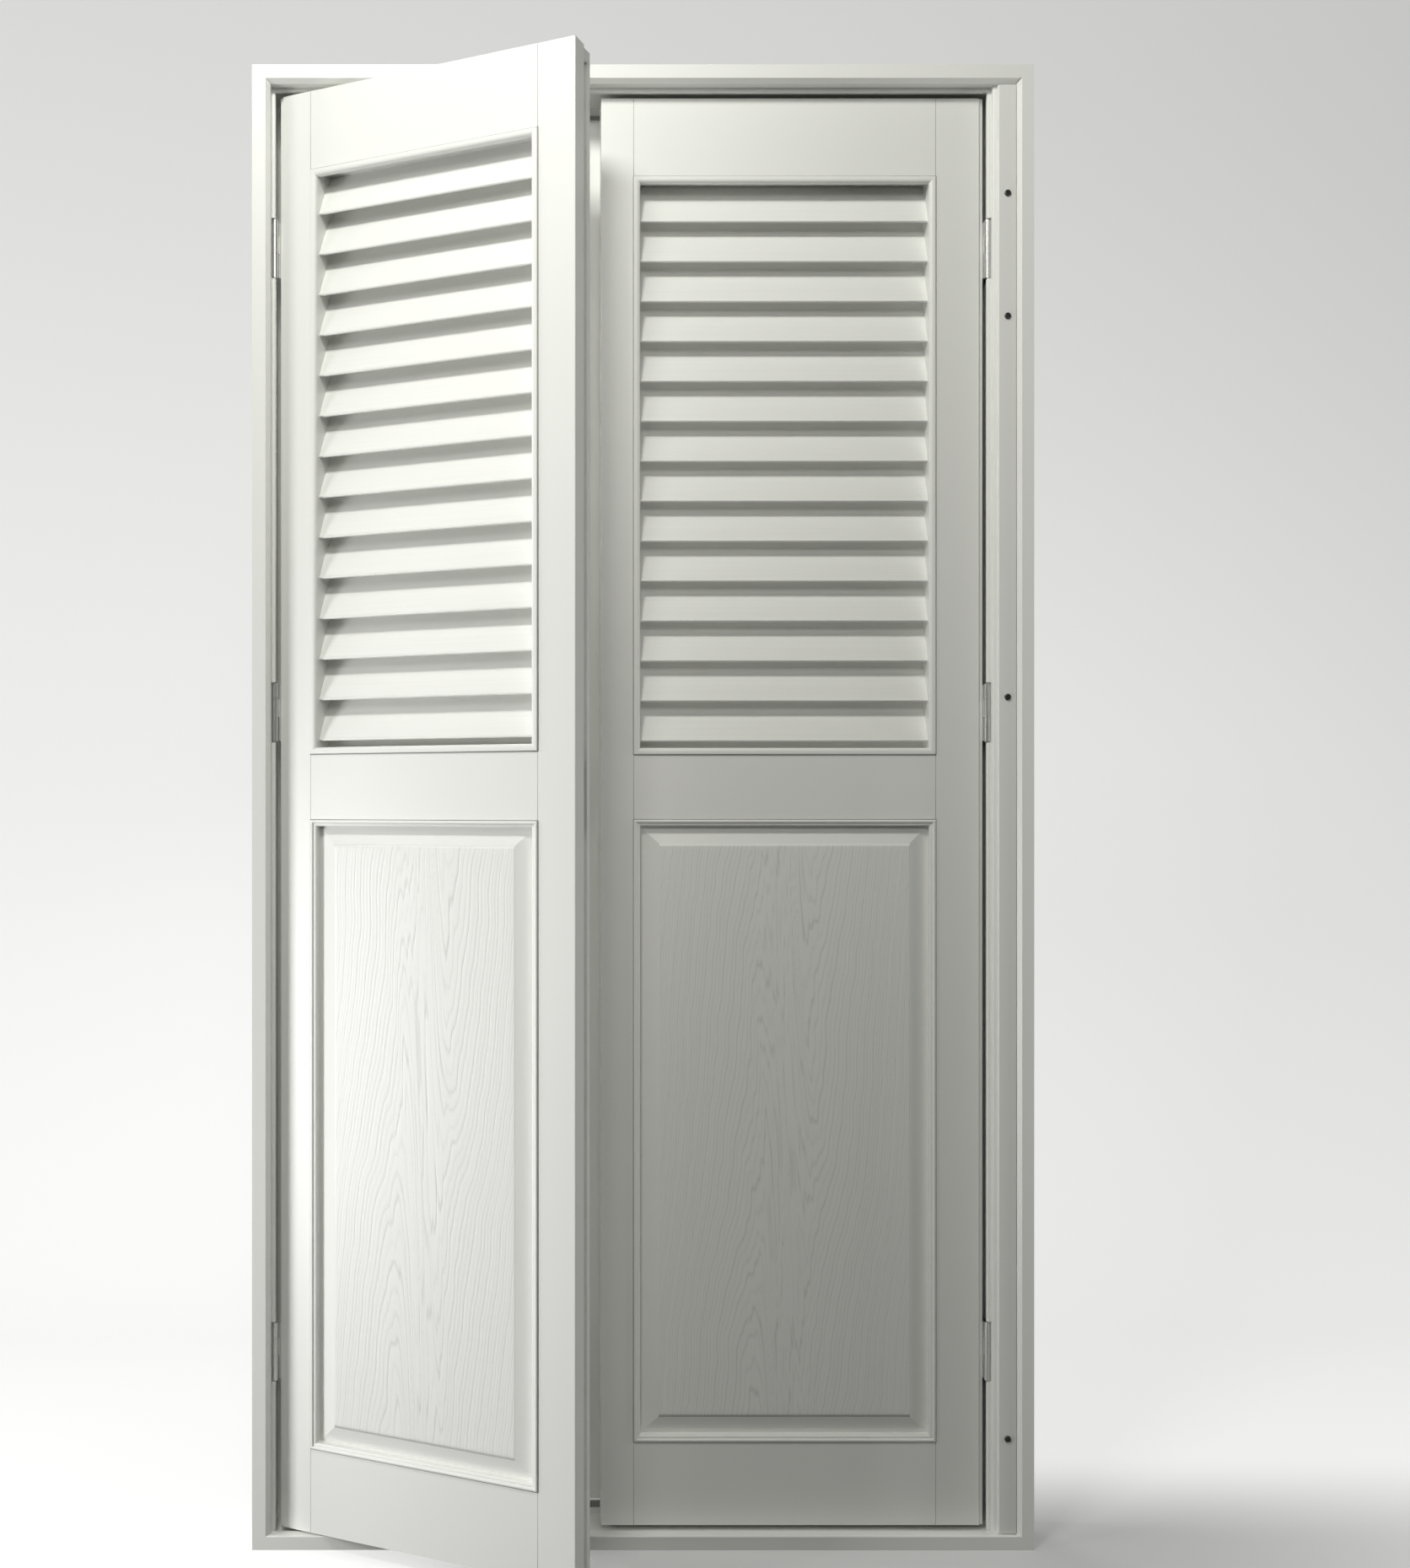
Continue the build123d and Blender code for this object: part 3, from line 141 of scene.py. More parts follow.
# %% Grain formula
RING_WIDTH = 0.0056
HEART_APART = 0.0325              # each heart line from the middle of the field
HEART_ROUND, TIP_ROUND = 0.003, 0.0035    # keep the middle and the tips of the arches from coming to a point
SPREAD, SPREAD_CURVE = 0.55, 4.0  # how the rings widen away from a heart line
BLEND = 0.035                     # how fast the two sides change over in the middle
TAPER = 0.15                      # rise of the rings along the board
HEART_WANDER, HEART_WAVES, HEART_LONGEST = 0.004, 5, 0.9     # reach, number of waves, longest wave in metres
SIDE_WANDER, SIDE_WAVES, SIDE_LONGEST = 0.0011, 5, 0.30
CLIMB_WANDER, CLIMB_WAVES, CLIMB_LONGEST = 0.030, 4, 0.6
SIDE_SHIFT, CLIMB_SHIFT = 2.0, 0.8            # how far a wander moves along the board from side to side
WAVE_FALL = 0.55                  # height of each wave against the one before
GROOVE_WIDTH = 0.20               # share of a ring
GROOVE_DEPTH = 0.00025
GROOVE_BELL = 1.3                 # above 1, a groove is narrower at its bottom
STRONG, STRONG_SWING, STRONG_STEP = 0.65, 0.35, 2.4    # grooves differ in depth from ring to ring
FINE_SHARE, FINE_WAVES, FINE_STEP = 0.125, 2.6, 1.3    # faint lines between the grooves


def slow_waves(z, seed, waves, longest):
    """A smooth wander along the board: a sum of sines, each half as long and WAVE_FALL as high as the last."""
    rng = np.random.default_rng(seed)
    total = np.zeros_like(z)
    for k in range(waves):
        phase, lift = rng.uniform(0, 2 * math.pi), rng.uniform(0.5, 1.0)
        total += lift * WAVE_FALL ** k * np.sin(2 * math.pi * z * 2 ** k / longest + phase)
    return total


def grain_height(u, z, seed):
    """Depth of the pressed grain at u across and z up from the middle of the board, in metres.
    Ring number = (f(a) - TAPER z tanh(u / BLEND)) / RING_WIDTH, with a the distance from the nearer of two hearts
    and f(a) = SPREAD sqrt(a^2 + TIP_ROUND^2) + SPREAD_CURVE a^2. The rings make narrow arches, opening upward on
    the right and downward on the left, and run close and straight between the hearts. A groove is a narrow bell at
    each whole number."""
    heart = HEART_WANDER * slow_waves(z, seed, HEART_WAVES, HEART_LONGEST)
    side = np.sqrt((u - heart) ** 2 + HEART_ROUND ** 2) - HEART_APART
    change = np.tanh(u / BLEND)
    a = side + SIDE_WANDER * slow_waves(z + SIDE_SHIFT * u, seed + 3, SIDE_WAVES, SIDE_LONGEST)
    spread = SPREAD * np.sqrt(a ** 2 + TIP_ROUND ** 2) + SPREAD_CURVE * a ** 2
    climb = z * change + CLIMB_WANDER * slow_waves(z + CLIMB_SHIFT * change, seed + 2, CLIMB_WAVES, CLIMB_LONGEST)
    ring = (spread - TAPER * climb) / RING_WIDTH
    near = np.abs(ring - np.round(ring)) / GROOVE_WIDTH
    strength = STRONG + STRONG_SWING * np.sin(np.round(ring) * STRONG_STEP + seed)
    late = np.clip(1.0 - near, 0.0, 1.0) ** GROOVE_BELL * strength
    fine = FINE_SHARE * np.sin(ring * 2 * math.pi * FINE_WAVES) ** 2 * (0.5 + 0.5 * np.sin(ring * FINE_STEP + seed))
    return -GROOVE_DEPTH * (late + fine)


print("a ring every", RING_WIDTH, "m, grooves", GROOVE_DEPTH, "m deep")

# %% [markdown]
# ## The grained sheets
# On the real panel the grain is pressed into the skin itself. The skin belongs to the CAD model and stays as it is,
# so each field gets a thin closed sheet instead: the front is the grid with the grain in it, the rim meets the CAD
# field, and the back is flat inside the panel, so nothing shows from the side.

# %% Grain sheets
SIDE_MARGIN, END_MARGIN = 0.0360, 0.0340      # from the panel's opening to its raised field
COLUMNS, ROWS = 420, 170
SHEET_RISE = 0.00035              # sheet over the CAD field
EDGE_FADE = 0.004


def rim_numbers():
    """Numbers of the grid's outer points, once round: along the first row, up the last column, and back."""
    return np.concatenate([
        np.arange(COLUMNS), np.arange(2, ROWS + 1) * COLUMNS - 1,
        np.arange(ROWS * COLUMNS - 2, (ROWS - 1) * COLUMNS - 1, -1),
        np.arange(ROWS - 2, 0, -1) * COLUMNS])


def sheet_faces(edge, back):
    """The grained front, a wall from its outer points to the rear ones, and the rear as one face."""
    ring = np.arange(len(edge))
    after = (ring + 1) % len(edge)
    front, rear = grid_faces(ROWS, COLUMNS), ROWS * COLUMNS + ring
    wall = np.stack([edge, edge[after], rear[after], rear], -1)
    if back:
        front = front[:, ::-1]
    else:
        wall, rear = wall[:, ::-1], rear[::-1]
    return front.tolist() + wall.tolist() + [rear.tolist()]


def grain_sheet(name, node, body, seed, back=False):
    """A sheet over one raised field, with rows up the field and columns across. Its rise is
    SHEET_RISE sqrt(fade) + grain, where fade runs from 0 at the rim to 1 a few millimetres inside it."""
    low, high = shut_box(node)
    x0, x1 = low[0] + SIDE_MARGIN, high[0] - SIDE_MARGIN
    z0, z1 = low[2] + END_MARGIN, high[2] - END_MARGIN
    u, v = np.meshgrid(np.linspace(0, 1, COLUMNS), np.linspace(0, 1, ROWS))
    x, z = x0 + (x1 - x0) * u, z0 + (z1 - z0) * v
    rim = np.minimum(np.minimum(x - x0, x1 - x), np.minimum(z - z0, z1 - z))
    fade = np.clip(rim / EDGE_FADE, 0, 1)
    grain = grain_height(x - (x0 + x1) / 2, z - (z0 + z1) / 2, seed) * fade
    rise = SHEET_RISE * np.sqrt(fade) + grain
    face = (high[1] + rise) if back else (low[1] - rise)
    inner = (high[1] - SHEET_RISE) if back else (low[1] + SHEET_RISE)
    front = np.stack([x, face, z], -1).reshape(-1, 3)
    rear = np.stack([x, np.full_like(x, inner), z], -1).reshape(-1, 3)
    edge = rim_numbers()
    points = np.concatenate([front, rear[edge]])
    if node.startswith("left_"):
        points = turned(points, OPEN_ANGLE)
    piece = new_piece(name, points, sheet_faces(edge, back))
    press = piece.data.attributes.new("press", "FLOAT", "POINT")
    press.data.foreach_set("value", np.concatenate([-grain.ravel() / GROOVE_DEPTH, np.zeros(len(edge))]))
    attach(piece, body)
    print(name, len(piece.data.polygons), "faces, grain", rise.min(), rise.max())
    return piece


grain_sheets = [
    grain_sheet("left_panel_grain", "left_panel_front", "left_leaf", 3),
    grain_sheet("right_panel_grain", "right_panel_front", "right_leaf", 8),
    grain_sheet("left_panel_grain_back", "left_panel_back", "left_leaf", 12, back=True),
    grain_sheet("right_panel_grain_back", "right_panel_back", "right_leaf", 21, back=True),
]

# %% [markdown]
# ## Finishes
# A finish is built from nodes: small steps that turn a place on the surface into a colour, a gloss or a height. One
# could lay every node out by hand in the shader editor. Written as calls they are easier to follow, and a short
# helper for a node and one for a sum keep each step on one line.

# %% Helpers for node groups and materials
FLOAT, COLOUR = "NodeSocketFloat", "NodeSocketColor"


def group_of(name, inputs, outputs):
    """An empty shader node group with float or colour sockets."""
    group = bpy.data.node_groups.new(name, "ShaderNodeTree")
    for title, kind, value in inputs:
        socket = group.interface.new_socket(name=title, in_out="INPUT", socket_type=kind)
        socket.default_value = value
    for title, kind in outputs:
        group.interface.new_socket(name=title, in_out="OUTPUT", socket_type=kind)
    return group, group.nodes.new("NodeGroupInput"), group.nodes.new("NodeGroupOutput")


def node(tree, kind, settings=None, **inputs):
    """A node with its settings and its input values or links. An input is given by its name, with _ for a space,
    or by its number after the letter i."""
    made = tree.nodes.new(kind)
    for key, value in (settings or {}).items():
        setattr(made, key, value)
    for key, value in inputs.items():
        name = key.replace("_", " ") if key.replace("_", " ") in made.inputs else key
        name = int(key[1:]) if key[0] == "i" and key[1:].isdigit() else name
        if isinstance(value, bpy.types.NodeSocket):
            tree.links.new(value, made.inputs[name])
        else:
            made.inputs[name].default_value = value
    return made


def maths(tree, operation, *values):
    """The result of one Math node."""
    inputs = {f"i{number}": value for number, value in enumerate(values)}
    return node(tree, "ShaderNodeMath", {"operation": operation}, **inputs).outputs[0]


def sum_of(tree, first, second, factor=1.0):
    """first + factor * second."""
    return maths(tree, "MULTIPLY_ADD", second, factor, first)


print("node helpers ready for", FLOAT, "and", COLOUR)

# %% [markdown]
# ## Powder coat
# Powder coat is melted plastic powder: satin, even in colour, with a very fine orange-peel skin. Its colour drifts
# only a little over a long profile, and an extruded or drawn metal shows fine lines along its length. Drift, skin
# and lines could be painted as pictures, but noise in the object's own space has no seams and any size. They are one
# node group here, built once and placed in each material with its own numbers.

# %% Coat skin group
DRIFT_SCALE, COARSE_PEEL, FINE_PEEL = 2.2, 260.0, 700.0     # noise cells to a metre
LINE_ALONG, LINE_ACROSS = 3.0, 420.0
COARSE_SHARE, LINE_SHARE = 1.4, 3.0                         # heights against the fine peel
# the second value darkens the pressed grain's grooves: painted shade
STREAK_TONE, GROOVE_PAINTED_SHADE = 0.16, -0.20
DRIFT_GLOSS, STREAK_GLOSS = 0.10, 0.25


def make_coat_group():
    """Colour drift and orange peel of powder coat. Drift: slow noise lightens or darkens the tone by a few
    hundredths. Peel: two sizes of noise, about 4 mm and 1.5 mm across, give the height. Line: noise stretched along
    x, or along z with Across at 1. Press: the depth of the pressed grain, where the tone is a little darker: painted
    shade in the grooves."""
    group, inside, out = group_of("coat_skin", [
        ("Tone", COLOUR, (0.8, 0.8, 0.8, 1)), ("Drift", FLOAT, 0.04), ("Gloss", FLOAT, 0.36),
        ("Line", FLOAT, 0.0), ("Turn", FLOAT, 0.0), ("Across", FLOAT, 0.0), ("Press", FLOAT, 0.0)],
        [("Color", COLOUR), ("Roughness", FLOAT), ("Height", FLOAT)])
    given = inside.outputs
    place = node(group, "ShaderNodeTexCoord").outputs["Object"]
    turn = node(group, "ShaderNodeCombineXYZ", Z=given["Turn"]).outputs[0]
    place = node(group, "ShaderNodeVectorRotate", {"rotation_type": "EULER_XYZ"}, Vector=place,
                 Rotation=turn).outputs[0]
    slow = node(group, "ShaderNodeTexNoise", Vector=place, Scale=DRIFT_SCALE, Detail=3.0).outputs["Fac"]
    fine = node(group, "ShaderNodeTexNoise", Vector=place, Scale=FINE_PEEL, Detail=2.0).outputs["Fac"]
    coarse = node(group, "ShaderNodeTexNoise", Vector=place, Scale=COARSE_PEEL, Detail=1.0).outputs["Fac"]
    along = node(group, "ShaderNodeMapping", {"vector_type": "POINT"}, Vector=place,
                 Scale=(LINE_ALONG, LINE_ACROSS, LINE_ACROSS)).outputs[0]
    upright = node(group, "ShaderNodeMapping", {"vector_type": "POINT"}, Vector=place,
                   Scale=(LINE_ACROSS, LINE_ACROSS, LINE_ALONG)).outputs[0]
    lines = node(group, "ShaderNodeMix", {"data_type": "VECTOR"}, Factor=given["Across"],
                 i4=along, i5=upright).outputs[1]
    drawn = node(group, "ShaderNodeTexNoise", Vector=lines, Scale=1.0, Detail=4.0).outputs["Fac"]
    centred = maths(group, "SUBTRACT", slow, 0.5)
    drift = maths(group, "MULTIPLY_ADD", centred, given["Drift"], 1.0)
    streak = maths(group, "MULTIPLY", maths(group, "SUBTRACT", drawn, 0.5), given["Line"])
    # painted shade: the tone darkens with the depth of the pressed grain
    level = sum_of(group, sum_of(group, drift, streak, STREAK_TONE), given["Press"], GROOVE_PAINTED_SHADE)
    tint = node(group, "ShaderNodeVectorMath", {"operation": "SCALE"}, Vector=given["Tone"],
                Scale=level).outputs[0]
    rough = sum_of(group, sum_of(group, given["Gloss"], centred, DRIFT_GLOSS), streak, STREAK_GLOSS)
    height = sum_of(group, fine, coarse, COARSE_SHARE)
    height = sum_of(group, height, maths(group, "MULTIPLY", drawn, given["Line"]), LINE_SHARE)
    for value, title in ((tint, "Color"), (rough, "Roughness"), (height, "Height")):
        group.links.new(value, out.inputs[title])
    return group


COAT = make_coat_group()
print(COAT.name, "with", len(COAT.nodes), "nodes")

# %% [markdown]
# ## One material for each finish
# The aluminium is sprayed white, the hinges are satin steel, the lock and the screws are darker, and the caps and
# the seal are plastic or rubber. The dark strips in the joints are painted shade. Each could have its own nodes. All
# of them are a tone, a gloss and a skin, though, so one function makes them from the group above, and what is the
# same all over goes straight on the shader.

# %% Materials
def material(name, values, bump, depth, fixed):
    """A Principled material fed by the coat group. values go into the group, bump and depth are the strength and
    height in metres of its skin, and fixed holds the shader's values that are the same all over."""
    made = bpy.data.materials.new(name)
    made.use_nodes = True
    tree = made.node_tree
    shader = tree.nodes["Principled BSDF"]
    effect = tree.nodes.new("ShaderNodeGroup")
    effect.node_tree = COAT
    effect.name = "effect"
    for key, value in values.items():
        effect.inputs[key].default_value = value
    for title, socket in (("Color", "Base Color"), ("Roughness", "Roughness")):
        tree.links.new(effect.outputs[title], shader.inputs[socket])
    skin = node(tree, "ShaderNodeBump", Strength=bump, Distance=depth, Height=effect.outputs["Height"])
    tree.links.new(skin.outputs[0], shader.inputs["Normal"])
    for key, value in fixed.items():
        shader.inputs[key].default_value = value
    return made


WHITE, STEEL, ALUMINIUM = (0.80, 0.805, 0.775, 1.0), (0.72, 0.72, 0.71, 1), (0.72, 0.72, 0.74, 1)
DARK_STEEL, BLACK_METAL = (0.30, 0.30, 0.31, 1), (0.09, 0.09, 0.09, 1)
# the second of these tones is the joints' painted shade
RUBBER, JOINT_SHADE_TONE, CAP = (0.22, 0.22, 0.215, 1), (0.20, 0.20, 0.19, 1), (0.74, 0.745, 0.72, 1)
COATED = {"Specular IOR Level": 0.42, "Coat Weight": 0.12, "Coat Roughness": 0.25}
METAL = {"Metallic": 1.0}

paint = material("white_powder_coat", {"Tone": WHITE, "Gloss": 0.38}, 0.12, 0.00006, COATED)
left_slat_paint = material("left_slat_coat", {"Tone": WHITE, "Gloss": 0.36, "Line": 0.5, "Turn": -OPEN_ANGLE},
                           0.3, 0.00008, COATED)
right_slat_paint = material("right_slat_coat", {"Tone": WHITE, "Gloss": 0.36, "Line": 0.5}, 0.3, 0.00008, COATED)
grain_paint = material("grained_coat", {"Tone": WHITE, "Gloss": 0.42, "Line": 0.35, "Across": 1.0},
                       0.25, 0.00010, COATED)
# the depth of the pressed grain feeds the painted shade in its grooves
pressed = node(grain_paint.node_tree, "ShaderNodeAttribute", {"attribute_name": "press"}).outputs["Fac"]
grain_paint.node_tree.links.new(pressed, grain_paint.node_tree.nodes["effect"].inputs["Press"])
steel = material("hinge_satin_steel", {"Tone": STEEL, "Gloss": 0.28, "Line": 0.7, "Across": 1.0},
                 0.5, 0.00005, METAL)
lock_steel = material("lock_dark_steel", {"Tone": DARK_STEEL, "Gloss": 0.34, "Line": 0.8, "Across": 1.0},
                      0.5, 0.00005, METAL)
screw_metal = material("dark_screw_metal", {"Tone": BLACK_METAL, "Gloss": 0.38}, 0.4, 0.00004, METAL)
mill = material("mill_aluminium", {"Tone": ALUMINIUM, "Gloss": 0.42, "Line": 0.6, "Across": 1.0},
                0.5, 0.00005, METAL)
rubber = material("seal_rubber", {"Tone": RUBBER, "Gloss": 0.62, "Drift": 0.2},
                  0.5, 0.00012, {"Specular IOR Level": 0.3})
# painted shade: a dark finish for the strips that stand in for the shade in hairline joints
joint_shade_paint = material("painted_joint_shade", {"Tone": JOINT_SHADE_TONE, "Gloss": 0.55}, 0.3, 0.00004, {"Specular IOR Level": 0.35})
plastic = material("cap_plastic", {"Tone": CAP, "Gloss": 0.5}, 0.4, 0.0001, {"Specular IOR Level": 0.4})
print(len(bpy.data.materials), "materials")

# %% [markdown]
# ## Dressing the CAD nodes
# The record says which slot each node has, and the slot says which finish it gets. Slats carry fine drawn lines
# along their length, so they have a finish of their own, turned with the open leaf on the left. The screws of the
# fixing strip and the lock are darker than the parts that they hold.

# %% Assign finishes
SLOT_FINISH = {"white_paint": paint, "hinge_steel": steel, "lock_steel": lock_steel, "dark_metal": screw_metal,
               "raw_aluminium": mill, "rubber": rubber, "cap_plastic": plastic}
slot_of = {part["node"]: part["material_slot"] for part in frame["record"]["subparts"]}
SPECIAL = {"left_louver_slats": left_slat_paint, "right_louver_slats": right_slat_paint,
           "fixing_strip_screws": screw_metal, "lock_screws": screw_metal}

for name, part in NODES.items():
    part.data.materials.clear()
    part.data.materials.append(SPECIAL.get(name) or SLOT_FINISH[slot_of[name]])
for piece in grain_sheets:
    piece.data.materials.append(grain_paint)
print({slot: sum(value == slot for value in slot_of.values()) for slot in SLOT_FINISH})

# %% [markdown]
# ## Screws, latch and plug in the free edge
# Three dark pan-head screws hold the edge profile of the open leaf. A head is a profile turned round its axis: a
# radius and a height for each step of one parameter, and a full turn for the other. The cross could be cut out with
# a boolean, but it is only pressed in, so the points near two crossed lines are lowered. The small latch of the
# lock is the same turned profile without a cross.

# %% Turned heads
SCREW_RADIUS, SCREW_HEIGHT = 0.0034, 0.0018
LATCH_RADIUS, LATCH_HEIGHT, LATCH_DROP = 0.0030, 0.0024, 0.0165    # the drop is from the faceplate's top
SCREW_PLACES = (0.157, 1.875, 1.993)          # heights above the floor
HEAD_STEPS, HEAD_SIDES = 12, 48
TIP_RADIUS, TIP_ANGLE = 1e-6, 0.02            # where the dome starts beside its axis
HEAD_RIM = 0.35                   # share of the height at the head's outer edge
HEAD_SINK = 0.0006                # how far the straight side goes below the seat
CROSS_REACH, CROSS_HALF_WIDTH, CROSS_DEPTH = 0.0021, 0.0005, 0.66
GROOVE_DEEP, GROOVE_CENTRE = 0.009, 0.039


def turned_head(name, centre, radius, height, cross):
    """Head facing +X before its turn: rings of radius R sin(a) at height H (rim + (1 - rim) cos(a)), a from 0 to a
    quarter turn, then a short straight side. With a cross, points near a cross line are lowered."""
    a = np.linspace(TIP_ANGLE, math.pi / 2, HEAD_STEPS)
    rings = np.concatenate([[TIP_RADIUS], radius * np.sin(a), [radius]])
    lift = np.concatenate([[height], height * (HEAD_RIM + (1 - HEAD_RIM) * np.cos(a)), [-HEAD_SINK]])
    turn = np.linspace(0, 2 * math.pi, HEAD_SIDES, endpoint=False)
    y, z = rings[:, None] * np.cos(turn), rings[:, None] * np.sin(turn)
    x = np.repeat(lift[:, None], HEAD_SIDES, 1)
    if cross:
        recess = (np.minimum(np.abs(y), np.abs(z)) < CROSS_HALF_WIDTH) & (rings[:, None] < CROSS_REACH)
        x = np.where(recess, x - CROSS_DEPTH * height, x)
    points = turned(np.stack([x, y, z], -1).reshape(-1, 3) + np.array(centre), OPEN_ANGLE)
    faces = grid_faces(len(rings), HEAD_SIDES, closed=True)[:, ::-1].tolist()
    tip = np.arange(HEAD_SIDES)
    faces += [tip.tolist(), ((len(rings) - 1) * HEAD_SIDES + tip[::-1]).tolist()]
    piece = new_piece(name, points, faces)
    piece.data.materials.append(screw_metal)
    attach(piece, "left_leaf")


stile_low, stile_high = shut_box("left_meeting_stile")
GROOVE_FLOOR = stile_high[0] - GROOVE_DEEP
GROOVE_Y = stile_low[1] + GROOVE_CENTRE
for number, height in enumerate(SCREW_PLACES):
    turned_head(f"edge_screw_{number + 1}", (GROOVE_FLOOR, GROOVE_Y, height), SCREW_RADIUS, SCREW_HEIGHT, True)
plate_high = shut_box("lock_faceplate")[1]
turned_head("small_latch", (plate_high[0], GROOVE_Y, plate_high[2] - LATCH_DROP), LATCH_RADIUS, LATCH_HEIGHT, False)
print("groove floor", GROOVE_FLOOR, "lock plate's top corner", plate_high)

# %% [markdown]
# A moulded plug closes the groove at the top. It could be a cube with a bevel, but a rounded block has a formula of
# its own: a sphere whose three axes are each squared up by the same power.

# %% Plug in the groove
PLUG_HALVES, PLUG_DROP = (0.0042, 0.0086, 0.0072), 0.0095          # the drop is from the stile's top
PLUG_ROWS, PLUG_COLUMNS = 33, 64
SQUARENESS = 0.25                 # 1 is a sphere, 0 a box
POLE_GAP = 1e-4


def rounded_block(name, centre, halves):
    """Closed superellipsoid: each axis is half * sign(t) |t|^SQUARENESS, t being the sphere's own x, y or z."""
    up = np.linspace(-math.pi / 2 + POLE_GAP, math.pi / 2 - POLE_GAP, PLUG_ROWS)[:, None]
    turn = np.linspace(0, 2 * math.pi, PLUG_COLUMNS, endpoint=False)[None, :]
    axes = (np.cos(up) * np.cos(turn), np.cos(up) * np.sin(turn), np.sin(up) + 0 * turn)
    squared = [half * np.sign(t) * np.abs(t) ** SQUARENESS for half, t in zip(halves, axes)]
    points = turned(np.stack(squared, -1).reshape(-1, 3) + np.array(centre), OPEN_ANGLE)
    faces = grid_faces(PLUG_ROWS, PLUG_COLUMNS, closed=True).tolist()
    ring = np.arange(PLUG_COLUMNS)
    faces += [ring[::-1].tolist(), ((PLUG_ROWS - 1) * PLUG_COLUMNS + ring).tolist()]
    piece = new_piece(name, points, faces)
    piece.data.materials.append(plastic)
    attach(piece, "left_leaf")


rounded_block("groove_plug", (GROOVE_FLOOR + PLUG_HALVES[0], GROOVE_Y, stile_high[2] - PLUG_DROP), PLUG_HALVES)
print("plug", [2 * half for half in PLUG_HALVES])

# %% [markdown]
# ## Joints between rails, stiles and beads
# Where a rail butts against a stile, and where a glazing bead meets the leaf, the hairline joint lies in shade, and
# that shade is painted here. It could be a dark line in the paint, but that would have to know where every rail
# ends.
# As a very low dark round strip along the edges of the CAD nodes, front and back, it follows them by itself, and it
# draws the thin lines of painted shade at the corners of a leaf and round its two openings.

# %% Where the joints run
RAIL_JOINT, BEAD_JOINT = 0.00028, 0.00050     # half widths
JOINT_END = 0.0005


def joint_lines(leaf):
    """Half width and ends (x, z) of every joint of a leaf: both ends of each rail, and the outline of each ring
    of beads."""
    lines = []
    for rail in ("top_rail", "middle_rail", "bottom_rail"):
        low, high = shut_box(f"{leaf}_{rail}")
        z0, z1 = low[2] + JOINT_END, high[2] - JOINT_END
        lines += [(RAIL_JOINT, (x, z0), (x, z1)) for x in (low[0], high[0])]
    for ring in ("louver_beads", "panel_beads"):
        low, high = shut_box(f"{leaf}_{ring}")
        x0, x1 = low[0] - BEAD_JOINT, high[0] + BEAD_JOINT
        z0, z1 = low[2] - BEAD_JOINT, high[2] + BEAD_JOINT
        corners = ((x0, z0), (x1, z0), (x1, z1), (x0, z1))
        lines += [(BEAD_JOINT, corners[k - 1], corners[k]) for k in range(4)]
    return lines


print(len(joint_lines("left")), "joints on each face of a leaf")

# %% [markdown]
# The strip of painted shade is half an ellipse drawn along each of those lines.

# %% Painted shade in the joints
JOINT_RISE, JOINT_SINK = 0.00008, 0.00002
JOINT_POINTS = 9


def joint_shade_strips(leaf):
    """All dark strips of painted joint shade on one leaf. Each is half an ellipse, w cos(t) along the face and h
    sin(t) out of it, drawn from one end of the joint to the other, with the two ends and the underside closed."""
    t = np.linspace(0, math.pi, JOINT_POINTS)
    low, high = shut_box(f"{leaf}_top_rail")
    ring = np.arange(JOINT_POINTS)
    points, faces = [], []
    for half_width, first, last in joint_lines(leaf):
        along = np.subtract(last, first) / np.linalg.norm(np.subtract(last, first))
        for face, way in ((low[1], -1.0), (high[1], 1.0)):
            across = -way * half_width * np.cos(t)
            out = face + way * (JOINT_RISE * np.sin(t) - JOINT_SINK)
            rows = [np.stack([x + across * along[1], out, z - across * along[0]], -1) for x, z in (first, last)]
            base = 2 * JOINT_POINTS * len(points)
            points.append(np.concatenate(rows))
            faces += (grid_faces(2, JOINT_POINTS, closed=True)[:, ::-1] + base).tolist()
            faces += [(base + ring).tolist(), (base + JOINT_POINTS + ring[::-1]).tolist()]
    joined = np.concatenate(points)
    if leaf == "left":
        joined = turned(joined, OPEN_ANGLE)
    piece = new_piece(f"{leaf}_painted_joint_shade", joined, faces)
    piece.data.materials.append(joint_shade_paint)
    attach(piece, f"{leaf}_leaf")
    return piece


for leaf in ("left", "right"):
    print(joint_shade_strips(leaf).name)

# %% [markdown]
# ## Studio paper
# A photographer hangs a wide sweep of pale paper that runs from under the shutter up behind it, so that no line
# parts floor from wall. A floor and a wall would need their corner hidden, so the sweep is one profile with a round
# bend, carried sideways.

# %% Sweep
SWEEP_FRONT, SWEEP_SIDE, SWEEP_TOP = -6.0, 7.0, 7.0
BEND_START, BEND_RADIUS, BEND_STEPS = 0.9, 1.1, 24
SWEEP_COLUMNS = 9
SWEEP_DROP = 0.0005               # keeps the paper clear of the sill


def make_sweep():
    """Floor, a quarter circle and a wall: one profile in y and z carried along x."""
    bend = np.linspace(0, math.pi / 2, BEND_STEPS)
    y = np.concatenate([[SWEEP_FRONT, BEND_START], BEND_START + BEND_RADIUS * np.sin(bend),
                        [BEND_START + BEND_RADIUS]])
    z = np.concatenate([[0.0, 0.0], BEND_RADIUS - BEND_RADIUS * np.cos(bend), [SWEEP_TOP]])
    x = np.linspace(-SWEEP_SIDE, SWEEP_SIDE, SWEEP_COLUMNS)
    grid_x, grid_y = np.meshgrid(x, y)
    grid_z = np.repeat(z[:, None], len(x), 1)
    points = np.stack([grid_x, grid_y, grid_z - SWEEP_DROP], -1).reshape(-1, 3)
    return new_piece("studio_sweep", points, grid_faces(len(y), len(x)).tolist())


sweep = make_sweep()
print("sweep", len(sweep.data.polygons), "faces")
